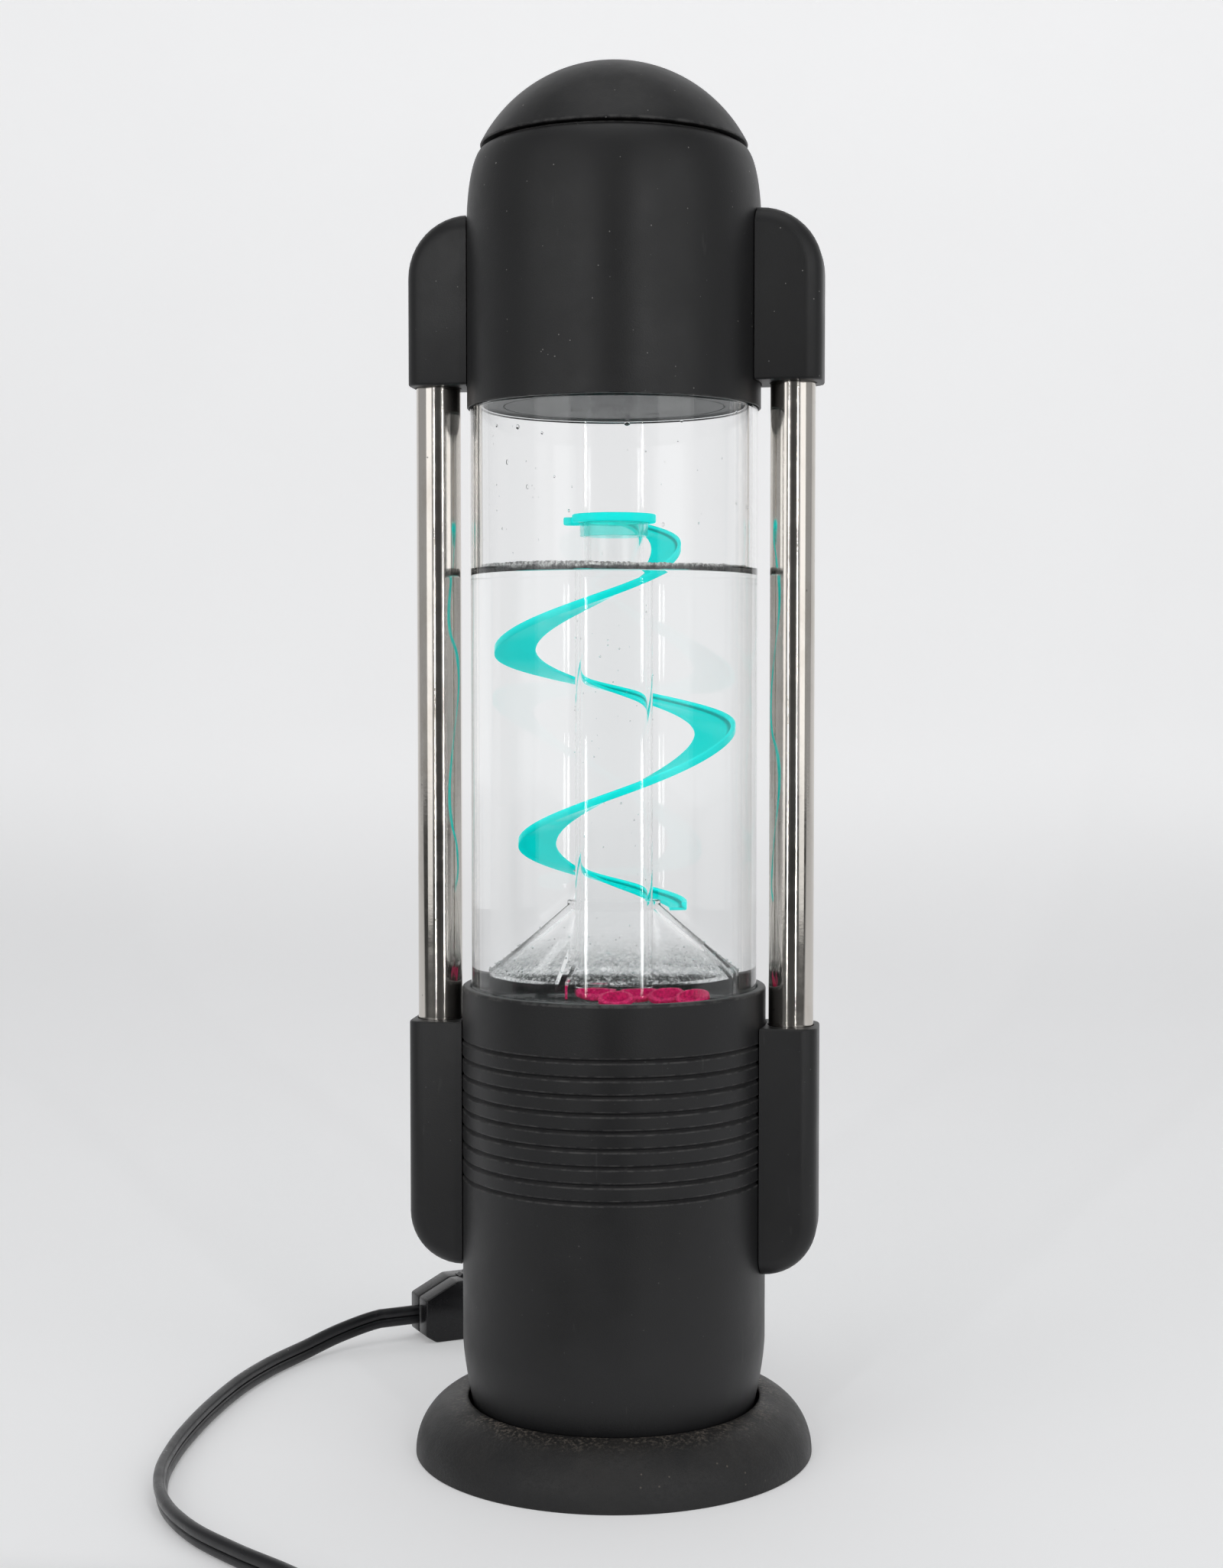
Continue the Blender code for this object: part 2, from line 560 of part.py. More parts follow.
def build_lid(plastic):
    sphere = (LID_RADIUS ** 2 + LID_HEIGHT ** 2) / (2 * LID_HEIGHT)
    centre = LID_BOTTOM + LID_HEIGHT - sphere
    spigot_outer = UPPER_MOUTH_RADIUS - UPPER_WALL - CLEARANCE
    spigot_inner = spigot_outer - SPIGOT_WALL
    profile = []
    edge_turn = math.atan2(LID_BOTTOM - centre, LID_RADIUS)
    for step in range(LID_STEPS + 1):
        turn = math.pi / 2 + (edge_turn - math.pi / 2) * step / LID_STEPS
        radius = 0 if step == 0 else sphere * math.cos(turn)
        profile.append((radius, centre + sphere * math.sin(turn)))
    profile += [(spigot_outer, LID_BOTTOM), (spigot_outer, LID_BOTTOM - SPIGOT_DEPTH),
                (spigot_inner, LID_BOTTOM - SPIGOT_DEPTH)]
    hollow = sphere - LID_WALL
    inner_turn = math.acos(min(1.0, spigot_inner / hollow))
    for step in range(LID_STEPS // 2 + 1):
        turn = inner_turn + (math.pi / 2 - inner_turn) * step / (LID_STEPS // 2)
        radius = 0 if step == LID_STEPS // 2 else hollow * math.cos(turn)
        profile.append((radius, centre + hollow * math.sin(turn)))
    turned("dome_lid", profile, plastic)


def pod_mesh(name, reach, height, corner, root):
    """A pod with its flat end at zero and its rounded end at height, along X from root to reach."""
    outline = [(root, 0), (reach, 0)]
    for step in range(POD_CORNER_STEPS + 1):
        turn = math.pi / 2 * step / POD_CORNER_STEPS
        outline.append((reach - corner + corner * math.cos(turn), height - corner + corner * math.sin(turn)))
    outline.append((root, height))
    shape = bmesh.new()
    face = shape.faces.new([shape.verts.new((x, -POD_WIDTH / 2, z)) for x, z in outline])
    pushed = bmesh.ops.extrude_face_region(shape, geom=[face])
    moved = [item for item in pushed["geom"] if isinstance(item, bmesh.types.BMVert)]
    bmesh.ops.translate(shape, verts=moved, vec=(0, POD_WIDTH, 0))
    bmesh.ops.recalc_face_normals(shape, faces=shape.faces)
    rounded = []
    for edge in shape.edges:
        ends = [vert.co for vert in edge.verts]
        on_side = abs(ends[0].y - ends[1].y) < CLEARANCE
        at_root = max(ends[0].x, ends[1].x) < root + CLEARANCE
        at_flat_end = max(ends[0].z, ends[1].z) < CLEARANCE
        if on_side and not at_root and not at_flat_end:
            rounded.append(edge)
    bmesh.ops.bevel(shape, geom=rounded, offset=POD_EDGE_RADIUS, offset_type="OFFSET",
                    segments=POD_EDGE_STEPS, profile=0.5, affect="EDGES")
    return finish_mesh(shape, name)


def build_pods(plastic, steel, lower_housing, upper_housing):
    """Four pods, each cut to its housing, bored for its rod and held by a screw from inside."""
    kinds = (
        ("upper", upper_housing, UPPER_RADIUS, UPPER_WALL, UPPER_POD_WALLS, UPPER_POD_HEIGHT,
         UPPER_POD_CORNER, UPPER_POD_BOTTOM, 1),
        ("lower", lower_housing, LOWER_RADIUS, LOWER_WALL, LOWER_POD_WALLS, LOWER_POD_HEIGHT,
         LOWER_POD_CORNER, LOWER_POD_TOP, -1),
    )
    for kind, housing, radius, wall, pod_walls, height, corner, start, way in kinds:
        socket = rod_profile(ROD_RADIUS + CLEARANCE, -OVERRUN, ROD_SOCKET_DEPTH + CLEARANCE)
        socket_mesh = turned_mesh(kind + "_socket", socket, ROD_SIDES)
        if way < 0:
            socket_mesh.transform(Matrix.Diagonal((1, 1, -1, 1)))
            socket_mesh.flip_normals()
        seat_room = rod_profile(radius + CLEARANCE, 0, LOWER_TOP + UPPER_TOP)
        seat_mesh = turned_mesh(kind + "_seat", seat_room, SIDES)
        hole = rod_profile(SCREW_RADIUS + CLEARANCE, -wall - OVERRUN, POD_SCREW_LENGTH)
        hole_mesh = turned_mesh(kind + "_pod_hole", hole, TINY_SIDES)
        screw = screw_mesh(kind + "_pod_screw", POD_SCREW_LENGTH)
        screw.materials.append(steel)
        socket_end = ROD_SOCKET_DEPTH + CLEARANCE
        screw_height = start + way * (socket_end + (height - socket_end) * POD_SCREW_SHARE / 2)
        for side, angle, pod_wall in zip(("right", "left"), (0.0, math.pi), pod_walls):
            out = Vector((math.cos(angle), math.sin(angle), 0))
            name = "%s_pod_%s" % (kind, side)
            reach = ROD_CENTRE_RADIUS + ROD_RADIUS + pod_wall
            body = pod_mesh(name, reach, height, corner, radius * POD_ROOT_SHARE)
            if way < 0:
                body.transform(Matrix.Diagonal((1, 1, -1, 1)))
                body.flip_normals()
            pod = add_object(name, body, plastic, (0, 0, start), (0, 0, angle))
            cut(pod, add_object("%s_seat_%s" % (kind, side), seat_mesh, None))
            cut(pod, add_object("%s_socket_%s" % (kind, side), socket_mesh, None,
                                out * ROD_CENTRE_RADIUS + Vector((0, 0, start))))
            at = out * (radius - wall) + Vector((0, 0, screw_height))
            way_in = (0, math.pi / 2, angle)
            through = add_object("%s_pod_hole_%s" % (kind, side), hole_mesh, None, at, way_in)
            cut(pod, through)
            cut(housing, through)
            head = out * (radius - wall - CLEARANCE * 2) + Vector((0, 0, screw_height))
            add_object("%s_pod_screw_%s" % (kind, side), screw, steel, head, way_in)


def build_rods(steel):
    tube = ring_profile(ROD_RADIUS, ROD_RADIUS - ROD_WALL, ROD_BOTTOM, ROD_TOP)
    mesh = turned_mesh("support_rod", tube, ROD_SIDES)
    add_object("support_rod_right", mesh, steel, (ROD_CENTRE_RADIUS, 0, 0))
    add_object("support_rod_left", mesh, steel, (-ROD_CENTRE_RADIUS, 0, 0))


def build_tank(clear, rubber, smoked):
    turned("tank_tube", ring_profile(TUBE_RADIUS, TUBE_INNER_RADIUS, TUBE_BOTTOM, TUBE_TOP), clear)
    inner = TUBE_RADIUS - SEAL_WIDTH
    bottom = TUBE_BOTTOM - CLEARANCE - SEAL_THICKNESS
    turned("lower_seal", ring_profile(TUBE_RADIUS, inner, bottom, TUBE_BOTTOM - CLEARANCE), rubber)
    bottom = TUBE_TOP + CLEARANCE
    turned("upper_seal", ring_profile(TUBE_RADIUS, inner, bottom, HEAD_FLANGE_BOTTOM - CLEARANCE), rubber)

    disc = ring_profile(TUBE_INNER_RADIUS - CLEARANCE, JET_RADIUS, FLOOR_BOTTOM, FLOOR_TOP)
    floor = turned("tank_floor", disc, clear)
    inlet = rod_profile(INLET_RADIUS, FLOOR_BOTTOM - OVERRUN, FLOOR_TOP + OVERRUN)
    inlet_mesh = turned_mesh("inlet_hole", inlet, TINY_SIDES)
    for index, angle, place in round_the_axis(INLET_COUNT, INLET_START_ANGLE, INLET_CIRCLE_RADIUS):
        cut(floor, add_object("inlet_hole_%d" % (index + 1), inlet_mesh, None, place))

    plug = HEAD_FLANGE_BORE - CLEARANCE
    rim = HEAD_FLANGE_TOP + CLEARANCE
    bottom = CEILING_BOTTOM
    cup = [(0, bottom + CAP_WALL + CAP_KNOB_HEIGHT), (CAP_KNOB_RADIUS, bottom + CAP_WALL + CAP_KNOB_HEIGHT),
           (CAP_KNOB_RADIUS, bottom + CAP_WALL), (plug - CAP_WALL, bottom + CAP_WALL),
           (plug - CAP_WALL, rim + CAP_WALL), (plug + CAP_RIM_WIDTH, rim + CAP_WALL),
           (plug + CAP_RIM_WIDTH, rim), (plug, rim), (plug, bottom), (0, bottom)]
    turned("tank_cap", cup, smoked)


def impeller_wave(index, step):
    """The two upper profile points of the impeller follow its blades."""
    if index in IMPELLER_BLADE_POINTS and step % IMPELLER_STEPS_PER_BLADE >= 2:
        return IMPELLER_HUB_RADIUS / IMPELLER_BLADE_RADIUS
    return 1.0



def build_pump(clear, plastic, steel, magnet, motor_metal):
    """Motor and magnet under the tank, impeller and its cup on the wet side."""
    bracket = turned("motor_bracket", rod_profile(BRACKET_RADIUS, BRACKET_BOTTOM, BRACKET_TOP), steel)
    hole = rod_profile(SCREW_RADIUS + CLEARANCE, BRACKET_BOTTOM - OVERRUN, BRACKET_TOP + OVERRUN)
    hole_mesh = turned_mesh("bracket_hole", hole, TINY_SIDES)
    screw = screw_mesh("bracket_screw", BRACKET_SCREW_LENGTH)
    screw.materials.append(steel)
    for index, angle, place in round_the_axis(POST_COUNT, POST_START_ANGLE, POST_CIRCLE_RADIUS):
        cut(bracket, add_object("bracket_hole_%d" % (index + 1), hole_mesh, None, place))
        seat = place + Vector((0, 0, BRACKET_TOP + CLEARANCE))
        add_object("bracket_screw_%d" % (index + 1), screw, steel, seat, (math.pi, 0, 0))

    shaft_room = SHAFT_RADIUS + CLEARANCE
    shaft_bottom = BOSS_TOP - SHAFT_SEAT_DEPTH
    case = [(shaft_room, BOSS_TOP), (MOTOR_BOSS_RADIUS, BOSS_TOP), (MOTOR_BOSS_RADIUS, MOTOR_TOP),
            (MOTOR_RADIUS, MOTOR_TOP), (MOTOR_RADIUS, MOTOR_BOTTOM), (0, MOTOR_BOTTOM)]
    case = [(0, shaft_bottom - CLEARANCE), (shaft_room, shaft_bottom - CLEARANCE)] + case
    turned("motor_body", case, motor_metal, ROD_SIDES)
    shaft_top = MAGNET_BOTTOM + MAGNET_BORE_DEPTH - CLEARANCE
    turned("motor_shaft", rod_profile(SHAFT_RADIUS, shaft_bottom, shaft_top), steel, SMALL_SIDES)
    drive = [(0, MAGNET_TOP), (MAGNET_RADIUS, MAGNET_TOP), (MAGNET_RADIUS, MAGNET_BOTTOM),
             (shaft_room, MAGNET_BOTTOM), (shaft_room, MAGNET_BOTTOM + MAGNET_BORE_DEPTH),
             (0, MAGNET_BOTTOM + MAGNET_BORE_DEPTH)]
    turned("drive_magnet", drive, magnet, ROD_SIDES)

    room = CUP_RADIUS - CUP_WALL
    socket = PIN_RADIUS + CLEARANCE
    cup = [(0, CUP_FLOOR - PIN_SOCKET_DEPTH), (socket, CUP_FLOOR - PIN_SOCKET_DEPTH), (socket, CUP_FLOOR),
           (room, CUP_FLOOR), (room, CUP_TOP), (CUP_FLANGE_RADIUS, CUP_TOP),
           (CUP_FLANGE_RADIUS, CUP_TOP - CUP_FLANGE_THICKNESS), (CUP_RADIUS, CUP_TOP - CUP_FLANGE_THICKNESS),
           (CUP_RADIUS, CUP_BOTTOM), (0, CUP_BOTTOM)]
    turned("pump_cup", cup, clear, ROD_SIDES)
    pin_bottom = CUP_FLOOR - PIN_SOCKET_DEPTH + CLEARANCE
    turned("impeller_pin", rod_profile(PIN_RADIUS, pin_bottom, pin_bottom + PIN_LENGTH), steel, SMALL_SIDES)
    disc_top = IMPELLER_BOTTOM + IMPELLER_DISC_THICKNESS
    top = disc_top + IMPELLER_BLADE_HEIGHT
    wheel = [(socket, top), (IMPELLER_BLADE_RADIUS, top), (IMPELLER_BLADE_RADIUS, disc_top),
             (IMPELLER_DISC_RADIUS, disc_top), (IMPELLER_DISC_RADIUS, IMPELLER_BOTTOM),
             (socket, IMPELLER_BOTTOM)]
    sides = IMPELLER_BLADE_COUNT * IMPELLER_STEPS_PER_BLADE
    turned("impeller", wheel, plastic, sides, wave=impeller_wave)


def build_bulb(glass, ceramic):
    place = (0, BRACKET_RADIUS - BULB_EDGE_GAP, 0)
    inner = BULB_BASE_RADIUS + CLEARANCE
    bottom = BRACKET_TOP + CLEARANCE
    floor = bottom + HOLDER_WALL
    holder = [(0, floor), (inner, floor), (inner, bottom + HOLDER_HEIGHT),
              (inner + HOLDER_WALL, bottom + HOLDER_HEIGHT), (inner + HOLDER_WALL, bottom), (0, bottom)]
    turned("bulb_holder", holder, ceramic, SMALL_SIDES, place)
    base = floor + CLEARANCE
    glass_bottom = base + BULB_BASE_HEIGHT
    profile = [(0, glass_bottom + BULB_GLASS_HEIGHT)]
    for wide, high in reversed(BULB_PROFILE_SHARES):
        profile.append((BULB_GLASS_RADIUS * wide, glass_bottom + BULB_GLASS_HEIGHT * high))
    profile += [(BULB_BASE_RADIUS, glass_bottom), (BULB_BASE_RADIUS, base), (0, base)]
    turned("bulb", profile, glass, SMALL_SIDES, place)


def build_cone(clear):
    inner = CONE_RADIUS - CONE_WALL
    bore = RISER_RADIUS + CLEARANCE
    profile = [(bore, CONE_TOP + CONE_WALL), (CONE_APEX_RADIUS, CONE_TOP + CONE_WALL),
               (CONE_APEX_RADIUS, CONE_TOP), (CONE_RADIUS, SKIRT_TOP), (CONE_RADIUS, SKIRT_BOTTOM),
               (inner, SKIRT_BOTTOM), (inner, SKIRT_TOP - CONE_WALL), (bore, CONE_TOP - CONE_WALL)]
    cone = turned("cone_deck", profile, clear)
    reach = CONE_SLOT_LENGTH + OVERRUN
    tall = CONE_HEIGHT + CONE_SKIRT_HEIGHT
    slot = box_mesh("cone_slot", (reach, CONE_SLOT_WIDTH, tall))
    middle = CONE_RADIUS - CONE_SLOT_LENGTH + reach / 2
    for index, angle, place in round_the_axis(CONE_SLOT_COUNT, CONE_SLOT_ANGLE, middle):
        seat = place + Vector((0, 0, SKIRT_BOTTOM - OVERRUN + tall / 2))
        cut(cone, add_object("cone_slot_%d" % (index + 1), slot, None, seat, (0, 0, angle)))


def smooth_between(before, start, end, after, along):
    """A smooth value between start and end, with their two neighbours, at a share along the way."""
    return 0.5 * (2 * start + (end - before) * along
                  + (2 * before - 5 * start + 4 * end - after) * along ** 2
                  + (3 * start - before - 3 * end + after) * along ** 3)


def through_shares(shares, position):
    """A smooth value through evenly spaced shares, at a position counted in spaces."""
    last = len(shares) - 1
    index = min(int(position), last - 1)
    before = shares[max(index - 1, 0)]
    after = shares[min(index + 2, last)]
    return smooth_between(before, shares[index], shares[index + 1], after, position - index)


def ramp_mesh():
    """A flat ribbon with a raised outer rail, winding down round the riser to the cone."""
    shape = bmesh.new()
    rings = []
    spaces = len(RAMP_REACH_SHARES) - 1
    total = spaces * RAMP_STEPS_PER_QUARTER
    for step in range(total + 1):
        position = step / RAMP_STEPS_PER_QUARTER
        angle = RAMP_START_ANGLE - position * math.pi / 2
        outer = RISER_RADIUS + RAMP_REACH * through_shares(RAMP_REACH_SHARES, position)
        wide = RAMP_REACH * through_shares(RAMP_WIDTH_SHARES, position)
        level = RAMP_TOP - (RAMP_TOP - RAMP_END) * through_shares(RAMP_DROP_SHARES, position)
        rail = outer - RAMP_RAIL_WIDTH
        crest = RAMP_RAIL_HEIGHT - RAMP_THICKNESS
        section = ((outer - wide, 0), (rail, 0), (rail, crest), (outer, crest),
                   (outer, -RAMP_THICKNESS), (outer - wide, -RAMP_THICKNESS))
        ring = []
        for radius, rise in section:
            ring.append(shape.verts.new((radius * math.cos(angle), radius * math.sin(angle), level + rise)))
        rings.append(ring)
    count = len(rings[0])
    for first, second in zip(rings, rings[1:]):
        for index in range(count):
            after = (index + 1) % count
            shape.faces.new((first[index], first[after], second[after], second[index]))
    shape.faces.new(rings[0])
    shape.faces.new(rings[-1])
    return finish_mesh(shape, "spiral_ribbon")


def build_ramp(tinted):
    bore = COLLAR_BORE_RADIUS
    wall = bore + COLLAR_WALL
    flange = COLLAR_TOP - COLLAR_RIM_HEIGHT
    profile = [(bore - COLLAR_WALL - CLEARANCE, COLLAR_TOP), (COLLAR_RADIUS, COLLAR_TOP),
               (COLLAR_RADIUS, flange - COLLAR_WALL), (wall, flange - COLLAR_WALL),
               (wall, COLLAR_TOP - COLLAR_HEIGHT), (bore, COLLAR_TOP - COLLAR_HEIGHT),
               (bore, COLLAR_TOP - COLLAR_WALL), (bore - COLLAR_WALL - CLEARANCE, COLLAR_TOP - COLLAR_WALL)]
    ramp = turned("spiral_ramp", profile, tinted, ROD_SIDES)
    hook = box_mesh("collar_hook", (COLLAR_HOOK_REACH * 2, COLLAR_HOOK_WIDTH, COLLAR_HOOK_REACH))
    level = flange - COLLAR_HOOK_REACH / 2 + COLLAR_WALL / 2
    join(ramp, add_object("collar_hook", hook, None, (-COLLAR_RADIUS, 0, level)))
    join(ramp, add_object("spiral_ribbon", ramp_mesh(), None))


def build_riser(clear):
    tube = ring_profile(RISER_RADIUS, RISER_RADIUS - RISER_WALL, RISER_BOTTOM, RISER_TOP)
    turned("riser_tube", tube, clear, ROD_SIDES)


def build_discs(magenta):
    radius = (CONE_RADIUS - CONE_WALL - CLEARANCE) * DISC_RADIUS_SHARE
    room = CONE_RADIUS - CONE_WALL - CLEARANCE - radius
    half = DISC_THICKNESS / 2
    level = FLOOR_TOP + CLEARANCE + radius * math.sin(DISC_LEAN) + half * math.cos(DISC_LEAN)
    mesh = turned_mesh("action_disc", rod_profile(radius, -half, half), SMALL_SIDES)
    for index, (x_share, y_share) in enumerate(DISC_PLACE_SHARES):
        place = (room * x_share, room * y_share, level)
        add_object("action_disc_%d" % (index + 1), mesh, magenta, place, (DISC_LEAN, 0, 0))


def build_gland(rubber):
    tip = GLAND_LENGTH - GLAND_TIP_LENGTH
    profile = [(0, GLAND_LENGTH), (GLAND_TIP_RADIUS, GLAND_LENGTH), (GLAND_RADIUS, tip),
               (GLAND_RADIUS, 0), (0, 0)]
    across = Vector((math.cos(GLAND_ANGLE), math.sin(GLAND_ANGLE), 0))
    place = across * GLAND_START_RADIUS + Vector((0, 0, GLAND_HEIGHT))
    turned("cord_gland", profile, rubber, SMALL_SIDES, place, (0, math.pi / 2, GLAND_ANGLE))


def smooth_route(start, out_way, middle, end, in_way):
    """Even points along a smooth curve that leaves and arrives straight, a clearance off each face."""
    first = start + out_way * CLEARANCE
    last = end - in_way * CLEARANCE
    route = [first, first + out_way * CORD_STEP, *middle, last - in_way * CORD_STEP, last]
    points = np.array([tuple(point) for point in route])
    dense = []
    for index in range(1, len(points) - 2):
        for along in np.linspace(0, 1, SIDES, endpoint=False):
            dense.append(smooth_between(*points[index - 1:index + 3], along))
    dense = np.array(dense + [points[-2]])
    travelled = np.concatenate([[0], np.cumsum(np.linalg.norm(np.diff(dense, axis=0), axis=1))])
    stops = np.linspace(0, travelled[-1], round(travelled[-1] / CORD_STEP) + 1)
    even = [Vector([np.interp(stop, travelled, dense[:, axis]) for axis in range(3)]) for stop in stops]
    return [first, *even, last]


def cord_tube(name, points, finish, resolution):
    curve = bpy.data.curves.new(name, "CURVE")
    curve.dimensions = "3D"
    curve.bevel_depth = CORD_RADIUS
    curve.bevel_resolution = resolution
    curve.use_fill_caps = True
    line = curve.splines.new("POLY")
    line.points.add(len(points) - 1)
    for point, place in zip(line.points, points):
        point.co = (*place, 1.0)
    curve.materials.append(finish)
    tube = bpy.data.objects.new(name, curve)
    bpy.context.scene.collection.objects.link(tube)


def coil_points():
    """Loops that spiral in along the table, climb a layer, and spiral out again on top."""
    half = COIL_STEPS / COIL_POINTS_PER_TURN / 2
    points = []
    for step in range(COIL_STEPS + 1):
        turn = step / COIL_POINTS_PER_TURN
        angle = COIL_START_ANGLE - 2 * math.pi * turn
        radius = COIL_RADIUS - COIL_PITCH * (half - abs(turn - half))
        climb = min(1.0, max(0.0, (turn - half) * 2 + 0.5))
        height = COIL_LIFT + COIL_PITCH * climb
        points.append(COIL_CENTRE + Vector((radius * math.cos(angle), radius * math.sin(angle), height)))
    into = heading(COIL_START_ANGLE)
    away = heading(angle)
    points.insert(0, points[0] - into * CORD_RADIUS * 2)
    points.append(points[-1] + away * COIL_TAIL_LENGTH)
    return points


def heading(angle):
    """Direction of travel of a clockwise loop at an angle round its centre."""
    return Vector((math.sin(angle), -math.cos(angle), 0))


def least_gap(points):
    """Least distance between the surfaces of loops that are not neighbours along the cord."""
    places = np.array([tuple(point) for point in points])
    least = math.inf
    skip = COIL_POINTS_PER_TURN // 2
    for index in range(len(places) - skip - 1):
        start, end = places[index], places[index + 1]
        along = end - start
        others = places[index + skip:]
        share = np.clip((others - start) @ along / (along @ along), 0, 1)
        away = np.linalg.norm(others - start - share[:, None] * along, axis=1)
        least = min(least, away.min())
    return least - 2 * CORD_RADIUS


def build_cord(black):
    """The lead from foot to switch, the run from switch to coil, and the coil; gives the coil's points."""
    out = Vector((math.cos(GLAND_ANGLE), math.sin(GLAND_ANGLE), 0))
    gland_tip = out * (GLAND_START_RADIUS + GLAND_LENGTH) + Vector((0, 0, GLAND_HEIGHT))
    through = -Vector((math.cos(SWITCH_TURN), math.sin(SWITCH_TURN), 0))
    middle = SWITCH_CENTRE + Vector((0, 0, SWITCH_CORD_HEIGHT))
    far_end = middle - through * SWITCH_LENGTH / 2
    near_end = middle + through * SWITCH_LENGTH / 2
    cord_tube("cord_lead", smooth_route(gland_tip, out, LEAD_ROUTE, far_end, through), black, 2)
    loops = coil_points()
    print("least gap between the coil's loops: %.5f m" % least_gap(loops))
    into = heading(COIL_START_ANGLE)
    cord_tube("cord_run", smooth_route(near_end, through, RUN_ROUTE, loops[0], into), black, 2)
    cord_tube("cord_coil", loops, black, 1)
    return loops


def switch_outline():
    half = SWITCH_LENGTH / 2
    return [(-half, SWITCH_END_LIFT), (-half + SWITCH_FOOT_SLOPE, 0), (half - SWITCH_FOOT_SLOPE, 0),
            (half, SWITCH_END_LIFT), (half, SWITCH_END_HEIGHT), (half - SWITCH_SLOPE_LENGTH, SWITCH_HEIGHT),
            (-half + SWITCH_SLOPE_LENGTH, SWITCH_HEIGHT), (-half, SWITCH_END_HEIGHT)]


def wheel_wave(index, step):
    """Every second step of the wheel's rim is cut back into a groove."""
    if index in (1, 2) and step % 2:
        return 1 - WHEEL_KNURL_DEPTH / WHEEL_RADIUS
    return 1.0


def build_switch(black, steel):
    turn = Matrix.Rotation(SWITCH_TURN, 4, "Z")
    centre = SWITCH_CENTRE
    across = turn @ Vector((0, 1, 0))
    facing = (math.pi / 2, 0, SWITCH_TURN)
    half_gap = CLEARANCE / 2
    half = SWITCH_THICKNESS / 2
    wheel_centre = centre + Vector((0, 0, WHEEL_HEIGHT))
    pocket_half = WHEEL_THICKNESS / 2 + CLEARANCE
    pocket = rod_profile(WHEEL_RADIUS + CLEARANCE, -pocket_half, pocket_half)
    pocket = turned("wheel_pocket", pocket, None, ROD_SIDES, wheel_centre, facing)
    pin_half = half - CLEARANCE
    pin_hole = rod_profile(WHEEL_PIN_RADIUS + CLEARANCE, -half - OVERRUN, half + OVERRUN)
    pin_hole = turned("wheel_pin_hole", pin_hole, None, TINY_SIDES, wheel_centre, facing)
    head_room = SCREW_HEAD_THICKNESS + CLEARANCE
    screw_end = SWITCH_SCREW_LENGTH - half + head_room
    screw_hole = rod_profile(SCREW_RADIUS + CLEARANCE, -half - OVERRUN, screw_end)
    screw_hole_mesh = turned_mesh("switch_hole", screw_hole, TINY_SIDES)
    head_hole = rod_profile(SCREW_HEAD_RADIUS + CLEARANCE, -half - OVERRUN, head_room - half)
    head_hole_mesh = turned_mesh("switch_head_hole", head_hole, TINY_SIDES)
    screw = screw_mesh("switch_screw", SWITCH_SCREW_LENGTH)
    screw.materials.append(steel)
    tools = [pocket, pin_hole]
    back_tools = []
    for index, side in enumerate((-1, 1)):
        along = turn @ Vector((side * SWITCH_SCREW_OFFSET, 0, SWITCH_SCREW_HEIGHT))
        place = centre + along
        number = index + 1
        tools.append(add_object("switch_hole_%d" % number, screw_hole_mesh, None, place, facing))
        back_tools.append(add_object("switch_head_hole_%d" % number, head_hole_mesh, None, place, facing))
        seat = place + across * (half - head_room + CLEARANCE)
        add_object("switch_screw_%d" % number, screw, steel, seat, facing)
    outline = switch_outline()
    for name, near, far in (("front", -half, -half_gap), ("back", half_gap, half)):
        shell = add_object("switch_shell_" + name, prism_mesh("switch_shell_" + name, outline, near, far),
                           black, centre, (0, 0, SWITCH_TURN))
        edge = shell.modifiers.new("edge", "BEVEL")
        edge.width = SWITCH_EDGE
        edge.segments = 1
        edge.limit_method = "ANGLE"
        edge.angle_limit = math.radians(50)
        for tool in tools:
            cut(shell, tool)
        if name == "back":
            for tool in back_tools:
                cut(shell, tool)
    bore = WHEEL_PIN_RADIUS + CLEARANCE
    rim = ring_profile(WHEEL_RADIUS, bore, -WHEEL_THICKNESS / 2, WHEEL_THICKNESS / 2)
    turned("switch_wheel", rim, black, WHEEL_KNURL_COUNT * 2, wheel_centre, facing, wheel_wave)
    turned("wheel_pin", rod_profile(WHEEL_PIN_RADIUS, -pin_half, pin_half), steel, TINY_SIDES,
           wheel_centre, facing)


